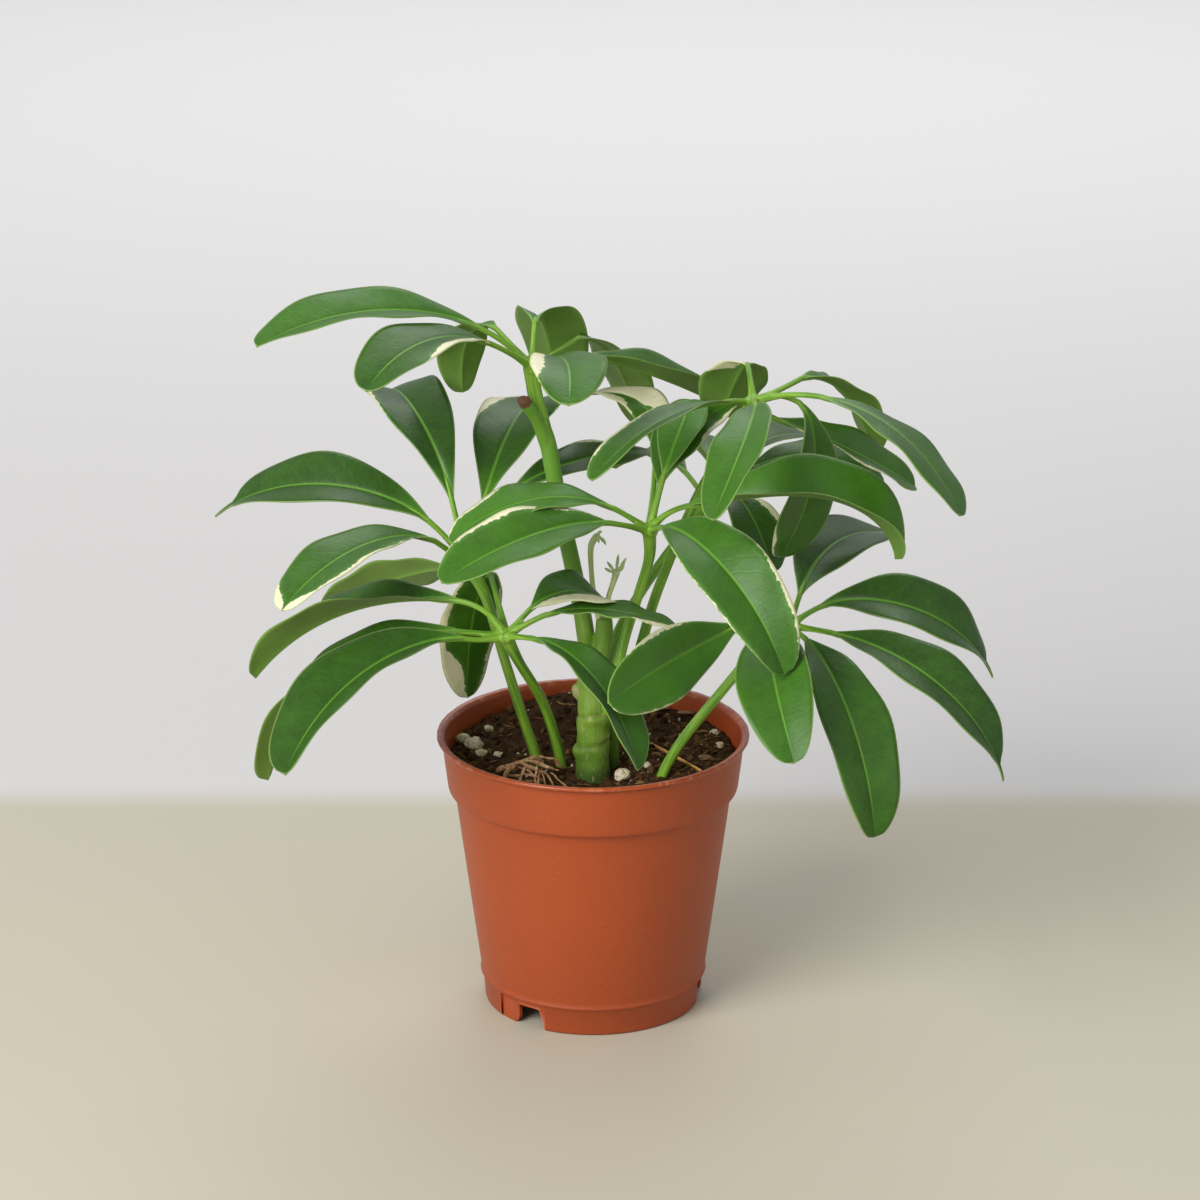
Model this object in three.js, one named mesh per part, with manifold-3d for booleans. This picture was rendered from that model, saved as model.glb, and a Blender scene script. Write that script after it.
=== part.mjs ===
// A variegated dwarf umbrella plant in a 4 inch nursery pot.
// Millimetres, +Z up. While the plant is built, the pot's axis is x = y = 0 and z = 0 is the table.
// At the end everything is moved so that the origin is under the middle of the whole plant.
import * as THREE from 'three';
import { mergeVertices } from 'three/addons/utils/BufferGeometryUtils.js';
import Module from 'manifold-3d';

const wasm = await Module();
wasm.setup();

// ---------------------------------------------------------------- driving dimensions

const CLEARANCE = 0.3; // gap between two pieces that touch

const POT_HEIGHT = 92.4;
const POT_LIP_RADIUS = 51;
const POT_WALL = 1.3;
const POT_FACETS = 40;
const COLLAR_BOTTOM = 74; // height at which the collar steps in to the body
const COLLAR_RADIUS = { top: 49.5, bottom: 47.3 };
const BODY_RADIUS = { top: 45.3, bottom: 37 };
const FOOT_HEIGHT = 9.6; // the ridge round the pot is just above it
const FOOT_RADIUS = { outside: 36.4, inside: 34 };
const FLOOR_HEIGHT = 8; // the pot's floor is raised above the table
const NOTCH_ANGLE = 14; // degrees
const NOTCH_STARTS = [213, 333, 93]; // degrees from +X, one notch and one recess at each
const RECESS_DEPTH = 1;

const SOIL_LEVEL = 84;
const SOIL_HOLE_DEPTH = 70; // height of the buried ends of the stems

const TRUNK_RADIUS = 5.5;
const STEM_RADIUS = 2.3;
const SHOOT_RADIUS = 2.6;
const TRUNK_RINGS = [92.5, 103]; // heights of the scars of fallen leaves

const BLADE_THICKNESS = 0.8;
const EDGE_CURL = 8; // degrees that each half blade bends back down
// Radii of a leaf's stems, and the steps of its blades along and out from the midrib.
const GROWN = { petiole: 1.8, stalk: 1.15, hub: 3, along: 6, out: 2, sides: 7 };
const YOUNG = { petiole: 0.9, stalk: 0.6, hub: 1.3, along: 2, out: 1, sides: 5 };
const DRY = { petiole: 0.6, stalk: 0.6, hub: 1.2, along: 4, out: 1, sides: 4 };

const COLOURS = {
  terracotta: { color: 0xb4552f, roughness: 0.45 },
  peat: { color: 0x2e2019, roughness: 0.95 },
  bark: { color: 0x6f9a35, roughness: 0.6 },
  leaf: { color: 0x3d7a34, roughness: 0.4 },
  shoot: { color: 0x93b84c, roughness: 0.5 },
  perlite: { color: 0xdcd8cc, roughness: 0.9 },
  dry: { color: 0x9a744b, roughness: 0.9 },
  straw: { color: 0xc98a35, roughness: 0.7 },
};

// ---------------------------------------------------------------- the seven compound leaves

// A leaflet is described as a grower would describe it, in degrees and millimetres:
//   aim    compass direction of the leaflet, 0 = +X, 90 = +Y
//   rise   slope of the blade where it starts
//   droop  how far the slope falls towards the tip
//   sweep  how far the blade turns sideways towards the tip
//   stalk  length of its little stalk
//   blade  length of the blade
//   arch   extra slope of the stalk where it leaves the hub
//   early  below 1 the blade bends near its base, above 1 near its tip
//   width  widest part of the blade
//   roll   the blade's turn about its midrib, and twist, what is added to it by the tip
//   fold   the angle at which the two half blades stand up from the midrib
const LEAFLET_WORDS = [
  'aim', 'rise', 'droop', 'sweep', 'stalk', 'blade', 'arch', 'early', 'width', 'roll', 'twist', 'fold',
];

const LEAVES = {
  leaf_front_left: {
    petiole: [[-10, -9, SOIL_HOLE_DEPTH], [-10, -9, 82], [-15.5, -16, 107], [-24, -29, 128],
      [-27.5, -34, 137.5]],
    leaflets: [
      [204, 17, 52, 45, 15, 84, -23, 0.5, 28, -22, 41, 30],
      [186, 6, 87, 3, 15, 86, 4, 1, 28, -18, 56, 24],
      [164, 1, 55, 17, 20, 76, 64, 1.2, 25, -17, 53, 33],
      [12, 44, 96, 20, 12, 31, 6, 0.9, 27, 11, -10, 13],
      [350, 27, 48, 0, 15, 44, 10, 0.6, 18, 5, -15, 10],
      [310, 10, 80, 0, 14, 64, 5, 1, 22, 0, -25, 20],
      [101, 12, 105, 28, 31, 62, 17, 0.4, 22, 0, 5, 12],
    ],
  },
  leaf_rear_left: {
    petiole: [[-17, -7, SOIL_HOLE_DEPTH], [-18, -7, 83.5], [-23, -9, 101.5], [-28.5, -10, 121],
      [-35.5, -12, 146], [-40.5, -12, 154]],
    leaflets: [
      [175, 40, 80, -25, 19, 80, 20, 0.8, 25, -30, 10, 20],
      [217, 38, 65, 20, 16, 70, 5, 0.5, 22, -10, 10, 15],
      [116, -17, 13, 41, 13, 68, -8, 0.8, 23, 42, -18, 11],
      [125, 65, 105, -25, 22, 77, 5, 1, 26, -10, 10, 20],
      [70, 50, 75, 5, 23, 73, -10, 1, 28, 0, -10, 15],
      [40, 25, 40, 15, 29, 68, 45, 0.5, 20, 15, -10, 10],
    ],
  },
  leaf_centre: {
    petiole: [[3.5, -18.5, 106], [7, -19, 118], [10.5, -16, 131.5], [14.5, -13, 144], [18, -13, 157],
      [18, -14, 166]],
    leaflets: [
      [223, 18, 44, -15, 19, 66, 5, 0.8, 25, -26, 14, 17],
      [199, 31, 71, -4, 15, 58, 10, 0.9, 23, -12, 11, 11],
      [75, 41, 35, -44, 17, 45, 0, 1, 22, 0, 0, 15],
      [85, 44, 60, 65, 32, 48, -20, 0.8, 18, 0, 0, 15],
      [60, 60, 60, 25, 18, 38, 0, 0.8, 16, 0, 0, 15],
      [334, 16, 99, 37, 18, 78, 41, 2.4, 29, 15, 0, 39],
      [290, 20, 90, 35, 12, 80, 5, 1, 26, 20, 10, 25],
    ],
  },
  leaf_upper_right: {
    petiole: [[8, -9, 104], [13.5, -5, 117], [20.5, 0, 140], [34.5, 3, 174], [42.5, 3, 187.5],
      [51, 2, 204]],
    leaflets: [
      [220, 10, 45, 5, 9, 64, 5, 1, 20, 10, 5, 15],
      [270, 15, 60, -30, 19, 66, 0, 0.8, 20, 15, 0, 20],
      [351, -33, 90, -24, 16, 57, 68, 0.4, 22, 29, 0, 12],
      [330, 0, 40, -35, 25, 68, 25, 0.8, 22, 0, -30, 5],
      [45, 10, 75, 15, 23, 56, -5, 0.5, 21, 0, 20, 20],
      [95, 14, 83, 32, 17, 37, 28, 0.4, 23, 6, 14, 11],
      [25, -25, 10, 10, 10, 64, -30, 1, 20, 15, 25, 20],
    ],
  },
  leaf_crown: {
    petiole: [[-15.6, 2, 194], [-17.4, 3, 201], [-19, 3.8, 209], [-19.5, 4, 215]],
    leaflets: [
      [200, 30, 50, 10, 23, 78, 20, 0.8, 25, -20, 20, 20],
      [225, 27, 57, 15, 22, 63, 10, 1, 25, -10, 5, 15],
      [127, 22, 125, -10, 21, 40, 2, 0.7, 18, 0, 3, 14],
      [84, 50, 138, -20, 15, 47, 6, 0.4, 27, -7, 6, 32],
      [290, 25, 50, -25, 18, 52, -5, 1, 25, 0, 0, 15],
      [42, -14, 17, -3, 23, 68, 23, 0.5, 22, 1, 16, 36],
      [60, 5, 75, 0, 29, 61, -1, 0.5, 24, 11, -2, 11],
    ],
  },
  leaf_lower_right: {
    petiole: [[20, -16, SOIL_HOLE_DEPTH], [22, -16, 82], [27, -16, 92.5], [38.5, -16, 108.5],
      [58, -16, 132], [63, -16, 134.5]],
    leaflets: [
      [75, 20, 40, -25, 16, 72, 5, 1, 27, 15, -10, 15],
      [340, 30, 95, 45, 13, 69, 15, 0.8, 25, 30, -5, 20],
      [314, 5, 80, 35, 19, 80, 5, 1.2, 24, 15, -5, 20],
      [285, 5, 90, 15, 17, 81, 0, 1, 25, -5, 5, 20],
      [257, 18, 73, 35, 22, 68, -15, 1, 25, 10, 15, 20],
      [225, -5, 0, 15, 25, 69, 40, 1, 24, -70, 0, 15],
    ],
  },
  leaf_rear: {
    petiole: [[3, -9, 112], [8, 4, 125], [22, 24, 142], [38, 38, 158]],
    leaflets: [
      [10, 35, 75, -10, 16, 50, 10, 0.8, 20, 10, 0, 15],
      [298, 20, 85, 11, 18, 33, 15, 0.4, 25, -3, -17, 11],
      [50, 30, 75, 0, 18, 62, 10, 0.8, 22, 0, 0, 15],
      [85, 25, 80, 0, 18, 62, 10, 0.8, 22, 0, 0, 15],
      [120, 20, 60, 0, 16, 50, 10, 0.8, 20, 0, 0, 15],
    ],
  },
};

const YOUNG_LEAVES = {
  young_leaf_left: {
    petiole: [[2.4, -13, 134], [0.8, -12.5, 141], [-0.6, -12, 153], [-0.4, -12, 161], [1.2, -12, 163.5]],
    leaflets: [
      [330, 20, 80, 0, 1.5, 5, 0, 1, 2, 0, 0, 20],
      [20, -10, 60, 0, 1.5, 5, 0, 1, 2, 0, 0, 20],
      [60, 40, 60, 0, 1.5, 4, 0, 1, 2, 0, 0, 20],
    ],
  },
  young_leaf_right: {
    petiole: [[4.6, -12.5, 134], [5, -12.5, 138], [5, -12, 143], [6.2, -12, 147], [7.4, -12, 151]],
    leaflets: [
      [190, 55, 0, 0, 1, 5, 0, 1, 1.7, 0, 0, 20],
      [170, 15, -20, 0, 1, 3.5, 0, 1, 1.7, 0, 0, 20],
      [60, 80, 10, 0, 1, 6, 0, 1, 1.8, 0, 0, 20],
      [350, 55, -10, 0, 1, 6.5, 0, 1, 1.8, 0, 0, 20],
      [320, 35, -30, 0, 1, 5, 0, 1, 1.7, 0, 0, 20],
    ],
  },
};

// ---------------------------------------------------------------- what lies on the soil

const PERLITE = [ // x, y, radius
  [-42.5, 11, 2.6], [-39, 6, 3], [-36.5, 1, 2], [-34.5, 20, 1.6], [-31, -2, 1.4],
  [9.5, -20, 2.8], [17.5, -10.5, 1.4], [40, 19, 1.6], [41.5, 7, 1.5],
];
const CHIPS = [ // x, y, length, width
  [36.5, -3, 4.5, 2.4], [22, 38, 7, 2.2], [31, 33, 6, 2.4],
];
const STRAW = [[16.5, 12], [25, -1], [35, -16]];
const DRY_LEAF = { // the third value of a petiole's point is its height above the soil
  petiole: [[-7, -27, 0.2], [-11, -25, 1.2], [-16, -22, 0.8]],
  leaflets: [
    [150, 35, 60, 40, 2, 15, 0, 1, 6, 20, 60, 30],
    [200, 25, 50, -40, 2, 13, 0, 1, 5, -30, -50, 30],
    [100, 40, 90, 20, 2, 11, 0, 1, 5, 0, 40, 30],
  ],
};

// ---------------------------------------------------------------- solids

const radians = THREE.MathUtils.degToRad;
const point = (xyz) => new THREE.Vector3(...xyz);

// A closed geometry as a solid that can be joined and cut.
function solidOf(geometry) {
  const bare = geometry.clone();
  bare.deleteAttribute('normal');
  bare.deleteAttribute('uv');
  const merged = mergeVertices(bare, 1e-4);
  return new wasm.Manifold(new wasm.Mesh({
    numProp: 3,
    vertProperties: new Float32Array(merged.attributes.position.array),
    triVerts: new Uint32Array(merged.index.array),
  }));
}

function geometryOf(solid) {
  const mesh = solid.getMesh();
  const geometry = new THREE.BufferGeometry();
  geometry.setAttribute('position', new THREE.BufferAttribute(mesh.vertProperties, 3));
  geometry.setIndex(new THREE.BufferAttribute(mesh.triVerts, 1));
  geometry.computeVertexNormals();
  return geometry;
}

const join = (solids) => solids.reduce((whole, piece) => whole.add(piece));

// A round stem of even thickness along a smooth curve through the given points.
function stem(points, radius, steps, sides = 8) {
  const section = new THREE.Shape();
  for (let side = 0; side < sides; side++) {
    const turn = (2 * Math.PI * side) / sides;
    const corner = [radius * Math.cos(turn), radius * Math.sin(turn)];
    if (side === 0) section.moveTo(...corner);
    else section.lineTo(...corner);
  }
  const curve = new THREE.CatmullRomCurve3(points);
  return solidOf(new THREE.ExtrudeGeometry(section, { steps, extrudePath: curve, curveSegments: 1 }));
}

// A lump: a ball stretched along the axes, and stood at a place.
function lump(place, radii, detail = 1) {
  const geometry = new THREE.IcosahedronGeometry(1, detail);
  geometry.scale(...radii);
  geometry.translate(...place);
  return solidOf(geometry);
}

function piece(name, solid, finish) {
  const material = new THREE.MeshStandardMaterial({ metalness: 0, ...finish });
  const mesh = new THREE.Mesh(geometryOf(solid), material);
  mesh.name = name;
  return mesh;
}

// ---------------------------------------------------------------- pot

// A slice of a ring, between two angles, used to cut the foot.
function ringSlice(innerRadius, outerRadius, start, end, bottom, top) {
  const outline = new THREE.Shape();
  outline.absarc(0, 0, outerRadius, radians(start), radians(end), false);
  outline.absarc(0, 0, innerRadius, radians(end), radians(start), true);
  const options = { depth: top - bottom, bevelEnabled: false, curveSegments: 3 };
  const geometry = new THREE.ExtrudeGeometry(outline, options);
  geometry.translate(0, 0, bottom);
  return solidOf(geometry);
}

function bodyRadiusAt(height) {
  const up = (height - FOOT_HEIGHT) / (COLLAR_BOTTOM - FOOT_HEIGHT);
  return THREE.MathUtils.lerp(BODY_RADIUS.bottom, BODY_RADIUS.top, up);
}

function collarRadiusAt(height) {
  const up = (height - COLLAR_BOTTOM) / (POT_HEIGHT - COLLAR_BOTTOM);
  return THREE.MathUtils.lerp(COLLAR_RADIUS.bottom, COLLAR_RADIUS.top, up);
}

function makePot() {
  const lip = POT_LIP_RADIUS;
  const floorTop = FLOOR_HEIGHT + POT_WALL;
  const profile = [
    [0, FLOOR_HEIGHT],
    [FOOT_RADIUS.inside, FLOOR_HEIGHT],
    [FOOT_RADIUS.inside, 0],
    [FOOT_RADIUS.outside - 1, 0],
    [FOOT_RADIUS.outside - 0.2, 1],
    [FOOT_RADIUS.outside, FOOT_HEIGHT - 0.6],
    [BODY_RADIUS.bottom + 0.3, FOOT_HEIGHT],
    [BODY_RADIUS.bottom + 0.3, FOOT_HEIGHT + 0.7],
    [bodyRadiusAt(FOOT_HEIGHT + 1.3), FOOT_HEIGHT + 1.3],
    [BODY_RADIUS.top, COLLAR_BOTTOM],
    [COLLAR_RADIUS.bottom - 0.4, COLLAR_BOTTOM],
    [COLLAR_RADIUS.bottom, COLLAR_BOTTOM + 0.5],
    [collarRadiusAt(POT_HEIGHT - 2.2), POT_HEIGHT - 2.2],
    [lip - 0.3, POT_HEIGHT - 1.8],
    [lip, POT_HEIGHT - 1],
    [lip - 0.6, POT_HEIGHT],
    [lip - 1.8, POT_HEIGHT - 0.2],
    [collarRadiusAt(POT_HEIGHT - 2.2) - POT_WALL, POT_HEIGHT - 2.2],
    [collarRadiusAt(COLLAR_BOTTOM) - POT_WALL, COLLAR_BOTTOM + 1.2],
    [BODY_RADIUS.top - POT_WALL, COLLAR_BOTTOM - 1],
    [bodyRadiusAt(floorTop) - POT_WALL, floorTop],
    [0, floorTop],
  ].map(([radius, height]) => new THREE.Vector2(radius, height));
  const lathe = new THREE.LatheGeometry(profile, POT_FACETS);
  lathe.rotateX(Math.PI / 2);
  let pot = solidOf(lathe);
  for (const start of NOTCH_STARTS) {
    const notchEnd = start + 2 * NOTCH_ANGLE;
    const recessTop = FOOT_HEIGHT - 0.8;
    const notch = ringSlice(26, 40, start + NOTCH_ANGLE, notchEnd, -1, FLOOR_HEIGHT - 0.4);
    const drain = ringSlice(26, 33, start + NOTCH_ANGLE, notchEnd, FLOOR_HEIGHT - 2, floorTop + 1);
    const recessEnd = start + NOTCH_ANGLE + 1;
    const recess = ringSlice(FOOT_RADIUS.outside - RECESS_DEPTH, 40, start, recessEnd, -1, recessTop);
    pot = pot.subtract(notch).subtract(drain).subtract(recess);
  }
  return pot;
}

// ---------------------------------------------------------------- soil

// The uneven top of the peat: lower in front, heaped at the back, with small clods.
function soilHeight(x, y) {
  const heap = 5 * Math.exp(-((x + 8) ** 2 + (y - 36) ** 2) / 260);
  const slope = 0.035 * y;
  const wide = 0.55 * Math.sin(0.42 * x + 1.1) * Math.cos(0.37 * y - 0.6);
  const clods = wide + 0.35 * Math.sin(0.9 * x + 0.7 * y);
  return SOIL_LEVEL + heap + slope + clods;
}

function makeSoil(raised = 0) {
  const gap = CLEARANCE + 0.1;
  const bottom = FLOOR_HEIGHT + POT_WALL + CLEARANCE;
  const shoulder = COLLAR_BOTTOM - 1;
  const edge = SOIL_LEVEL - 1;
  const edgeRadius = collarRadiusAt(edge) - POT_WALL - gap;
  const rings = [1, 0.8, 0.6, 0.4, 0.2];
  const profile = [
    [0, bottom],
    [bodyRadiusAt(bottom) - POT_WALL - gap, bottom],
    [BODY_RADIUS.top - POT_WALL - gap, shoulder],
    [collarRadiusAt(COLLAR_BOTTOM) - POT_WALL - gap, COLLAR_BOTTOM + 2],
    ...rings.map((ring) => [ring * edgeRadius, SOIL_LEVEL]),
    [0, SOIL_LEVEL],
  ].map(([radius, height]) => new THREE.Vector2(radius, height));
  const lathe = new THREE.LatheGeometry(profile, 32);
  lathe.rotateX(Math.PI / 2);
  const places = lathe.attributes.position;
  for (let i = 0; i < places.count; i++) {
    if (places.getZ(i) > SOIL_LEVEL - 0.01) {
      places.setZ(i, soilHeight(places.getX(i), places.getY(i)) + raised);
    }
  }
  return solidOf(lathe);
}

// ---------------------------------------------------------------- trunk

// Every stem of the trunk may be made a little thicker, to cut the seats of the leaves that grow on it.
function makeTrunk(extra = 0) {
  const shoulder = [-1, -13.5, 122 + extra];
  const foot = [0, -16, SOIL_HOLE_DEPTH - 6 - extra];
  const woody = stem([foot, [0, -16, 90], [0, -16, 110], shoulder].map(point), TRUNK_RADIUS + extra, 5, 12);
  const mainStem = stem([[-1, -14, 116], [-2.6, -10.5, 131.5], [-6.3, -5, 150], [-11.2, -2, 172.5],
    [-12.8, -1, 182.2], [-14.6, 0.3, 191.5], [-17, 1.2, 198 + extra]].map(point), STEM_RADIUS + extra, 9);
  const stubWay = [[-14.6, 0, 190], [-18, -1.6, 199], [-21.8, -3.5, 206.5 + extra]];
  const stub = stem(stubWay.map(point), STEM_RADIUS - 0.2 + extra, 4);
  const sideWay = [[0, -16, 114], [3, -14, 126], [3.6, -12.5, 136 + extra]];
  const sideShoot = stem(sideWay.map(point), SHOOT_RADIUS + extra, 3);
  const secondWay = [[6, -8, SOIL_HOLE_DEPTH - extra], [5.5, -8.5, 95], [2, -12, 112]];
  const secondStem = stem(secondWay.map(point), SHOOT_RADIUS + extra, 4);
  const solids = [woody, mainStem, stub, sideShoot, secondStem];
  for (const height of TRUNK_RINGS) {
    const ringRadius = TRUNK_RADIUS + 0.5 + extra;
    solids.push(lump([0, -16, height], [ringRadius, ringRadius, 2 + extra], 1));
  }
  solids.push(lump([-5, -15, 113], [2 + extra, 2 + extra, 3 + extra], 1));
  return join(solids);
}

// ---------------------------------------------------------------- leaves

// Half width of a blade, from 0 at its base to 0 at its tip, widest beyond the middle.
function bladeOutline(along) {
  return Math.sin(Math.PI * along ** 1.32) ** (0.86 - 0.42 * along);
}

// The direction, the side direction and the upward normal of the midrib at a point along the blade.
function midribFrame(leaflet, along) {
  const slope = radians(leaflet.rise - leaflet.droop * along ** leaflet.early);
  const heading = radians(leaflet.aim + leaflet.sweep * along);
  const turn = radians(leaflet.roll + leaflet.twist * along);
  const ahead = new THREE.Vector3(
    Math.cos(slope) * Math.cos(heading), Math.cos(slope) * Math.sin(heading), Math.sin(slope));
  const up = new THREE.Vector3(
    -Math.sin(slope) * Math.cos(heading), -Math.sin(slope) * Math.sin(heading), Math.cos(slope));
  const side = new THREE.Vector3().crossVectors(up, ahead);
  const tiltedSide = side.clone().multiplyScalar(Math.cos(turn)).addScaledVector(up, Math.sin(turn));
  const tiltedUp = up.clone().multiplyScalar(Math.cos(turn)).addScaledVector(side, -Math.sin(turn));
  return { ahead, side: tiltedSide, up: tiltedUp };
}

// The points of a leaflet's stalk, from the hub to the blade.
function stalkPoints(leaflet, hub, steps = 3) {
  const points = [hub.clone()];
  for (let i = 0; i < steps; i++) {
    const slope = radians(leaflet.rise + leaflet.arch * (1 - (i + 0.5) / steps));
    const heading = radians(leaflet.aim);
    const ahead = new THREE.Vector3(
      Math.cos(slope) * Math.cos(heading), Math.cos(slope) * Math.sin(heading), Math.sin(slope));
    points.push(points[i].clone().addScaledVector(ahead, leaflet.stalk / steps));
  }
  return points;
}

// Where a point of the blade lies across the midrib: how far out and how far up, for a half width of 1.
function crossSection(leaflet, across) {
  const pieces = 6;
  let out = 0;
  let up = 0;
  for (let i = 0; i < pieces; i++) {
    const reached = ((i + 0.5) / pieces) * Math.abs(across);
    const slope = radians(leaflet.fold - EDGE_CURL * reached);
    out += (Math.cos(slope) * Math.abs(across)) / pieces;
    up += (Math.sin(slope) * Math.abs(across)) / pieces;
  }
  return { out: out * Math.sign(across), up };
}

// A thin blade with an upper and a lower face, cut into triangles alike, and a narrow edge between them.
function blade(leaflet, base, size) {
  const steps = size.along;
  const columns = 2 * size.out + 1;
  const rows = steps + 1;
  const faces = [[], []];
  const middle = base.clone();
  for (let row = 0; row < rows; row++) {
    const along = row / steps;
    const { side, up } = midribFrame(leaflet, along);
    const halfWidth = Math.max(0.06 + 0.94 * bladeOutline(along), 0.06) * (leaflet.width / 2);
    for (let column = 0; column < columns; column++) {
      const across = (column - size.out) / size.out;
      const section = crossSection(leaflet, across);
      const spot = middle.clone().addScaledVector(side, section.out * halfWidth)
        .addScaledVector(up, section.up * halfWidth);
      faces[0].push(spot.clone().addScaledVector(up, BLADE_THICKNESS / 2));
      faces[1].push(spot.clone().addScaledVector(up, -BLADE_THICKNESS / 2));
    }
    const { ahead } = midribFrame(leaflet, (row + 0.5) / steps);
    middle.addScaledVector(ahead, leaflet.blade / steps);
  }
  const count = rows * columns;
  const triangles = [];
  for (let row = 0; row < rows - 1; row++) {
    for (let column = 0; column < columns - 1; column++) {
      const a = row * columns + column;
      const b = a + 1;
      const c = a + columns;
      const d = c + 1;
      triangles.push(a, c, b, b, c, d);
      triangles.push(a + count, b + count, c + count, b + count, d + count, c + count);
    }
  }
  const rim = [];
  for (let column = 0; column < columns - 1; column++) rim.push(column);
  for (let row = 0; row < rows - 1; row++) rim.push(row * columns + columns - 1);
  for (let column = columns - 1; column > 0; column--) rim.push((rows - 1) * columns + column);
  for (let row = rows - 1; row > 0; row--) rim.push(row * columns);
  rim.forEach((here, i) => {
    const next = rim[(i + 1) % rim.length];
    triangles.push(here, next, here + count, next, next + count, here + count);
  });
  const geometry = new THREE.BufferGeometry().setFromPoints([...faces[0], ...faces[1]]);
  geometry.setIndex(triangles);
  return solidOf(geometry);
}

// One compound leaf: its petiole, the swollen hub on top and the leaflets round it, grown together.
function makeLeaf({ petiole, leaflets }, size = GROWN) {
  const hub = point(petiole.at(-1));
  const solids = [
    stem(petiole.map(point), size.petiole, 8, size.sides),
    lump(petiole.at(-1), [size.hub, size.hub, size.hub * 0.9], 0),
  ];
  for (const values of leaflets) {
    const leaflet = Object.fromEntries(LEAFLET_WORDS.map((word, i) => [word, values[i]]));
    const stalk = stalkPoints(leaflet, hub);
    const { ahead } = midribFrame(leaflet, 0);
    const base = stalk.at(-1).clone();
    stalk.push(base.clone().addScaledVector(ahead, 0.04 * leaflet.blade));
    solids.push(stem(stalk, size.stalk, 2, 4));
    solids.push(blade(leaflet, base, size));
  }
  return join(solids);
}

// The largest body of a solid, without the scraps that a cut left.
function largestBody(solid) {
  return solid.decompose().reduce((best, body) => (body.volume() > best.volume() ? body : best));
}

// ---------------------------------------------------------------- the whole plant

const plant = new THREE.Group();
const trunkSeat = makeTrunk(CLEARANCE);
const soilSeat = makeSoil(CLEARANCE);
let soil = makeSoil().subtract(trunkSeat);

plant.add(piece('pot', makePot(), COLOURS.terracotta));
plant.add(piece('trunk', makeTrunk(), COLOURS.bark));
for (const [name, leaf] of Object.entries(LEAVES)) {
  plant.add(piece(name, largestBody(makeLeaf(leaf).subtract(trunkSeat)), COLOURS.leaf));
  const [buried, ...above] = leaf.petiole.map(point);
  buried.z -= CLEARANCE;
  soil = soil.subtract(stem([buried, ...above], GROWN.petiole + CLEARANCE, 8, GROWN.sides));
}
for (const [name, leaf] of Object.entries(YOUNG_LEAVES)) {
  plant.add(piece(name, largestBody(makeLeaf(leaf, YOUNG).subtract(trunkSeat)), COLOURS.shoot));
}
plant.add(piece('soil', soil, COLOURS.peat));

// What lies on the soil is cut to its surface.
PERLITE.forEach(([x, y, radius], i) => {
  const grain = lump([x, y, soilHeight(x, y) + 0.4 * radius], [radius, 0.8 * radius, 0.7 * radius], 0);
  plant.add(piece(`perlite_${i + 1}`, grain.subtract(soilSeat), COLOURS.perlite));
});
CHIPS.forEach(([x, y, length, width], i) => {
  const chip = lump([x, y, soilHeight(x, y) + 0.6], [length / 2, width / 2, 1], 0);
  plant.add(piece(`wood_chip_${i + 1}`, chip.subtract(soilSeat), COLOURS.dry));
});
const straw = stem(STRAW.map(([x, y]) => point([x, y, soilHeight(x, y) + 1])), 0.6, 4, 5);
plant.add(piece('straw', largestBody(straw.subtract(soilSeat)), COLOURS.straw));
const dryPetiole = DRY_LEAF.petiole.map(([x, y, above]) => [x, y, soilHeight(x, y) + above]);
const dryLeaf = makeLeaf({ petiole: dryPetiole, leaflets: DRY_LEAF.leaflets }, DRY);
plant.add(piece('dry_leaf', largestBody(dryLeaf.subtract(soilSeat)), COLOURS.dry));

const box = new THREE.Box3().setFromObject(plant);
const middle = box.getCenter(new THREE.Vector3());
plant.position.set(-middle.x, -middle.y, -box.min.z);

export default plant;
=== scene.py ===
# %% [markdown]
# # A variegated umbrella plant in a nursery pot
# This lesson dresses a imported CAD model. The solids say where every piece is, and each cell below makes
# one piece of the real plant as fine geometry: the moulded pot, the potting soil with what lies on it,
# the green trunk, and the compound leaves. Sizes are written in millimetres, with the pot's axis at
# x = y = 0, and become metres only when a mesh is made.

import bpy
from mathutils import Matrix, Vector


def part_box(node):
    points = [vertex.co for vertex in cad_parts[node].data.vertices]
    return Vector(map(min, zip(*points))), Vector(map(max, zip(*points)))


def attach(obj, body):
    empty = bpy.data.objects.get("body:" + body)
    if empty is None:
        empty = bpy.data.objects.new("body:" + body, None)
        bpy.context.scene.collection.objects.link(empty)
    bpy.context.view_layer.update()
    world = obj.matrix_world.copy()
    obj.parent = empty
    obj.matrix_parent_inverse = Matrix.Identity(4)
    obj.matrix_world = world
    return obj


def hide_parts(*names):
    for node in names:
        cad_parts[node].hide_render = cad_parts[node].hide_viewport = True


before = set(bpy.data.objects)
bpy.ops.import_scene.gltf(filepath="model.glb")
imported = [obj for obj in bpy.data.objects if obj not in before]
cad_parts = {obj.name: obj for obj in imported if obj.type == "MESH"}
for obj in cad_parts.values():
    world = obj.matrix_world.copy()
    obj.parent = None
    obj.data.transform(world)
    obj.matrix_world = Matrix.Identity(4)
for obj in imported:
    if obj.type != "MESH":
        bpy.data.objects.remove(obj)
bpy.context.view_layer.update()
print("CAD nodes:", len(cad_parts))

# %% Libraries and units
import math
import random

import bmesh
import bpy
import numpy as np
from mathutils import Matrix, Vector, noise

MM = 0.001
pot_low, pot_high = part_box("pot")
POT_AXIS = np.array([pot_low.x + pot_high.x, pot_low.y + pot_high.y, 0.0]) / 2 / MM
print("pot axis, mm:", POT_AXIS.round(2))

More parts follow.
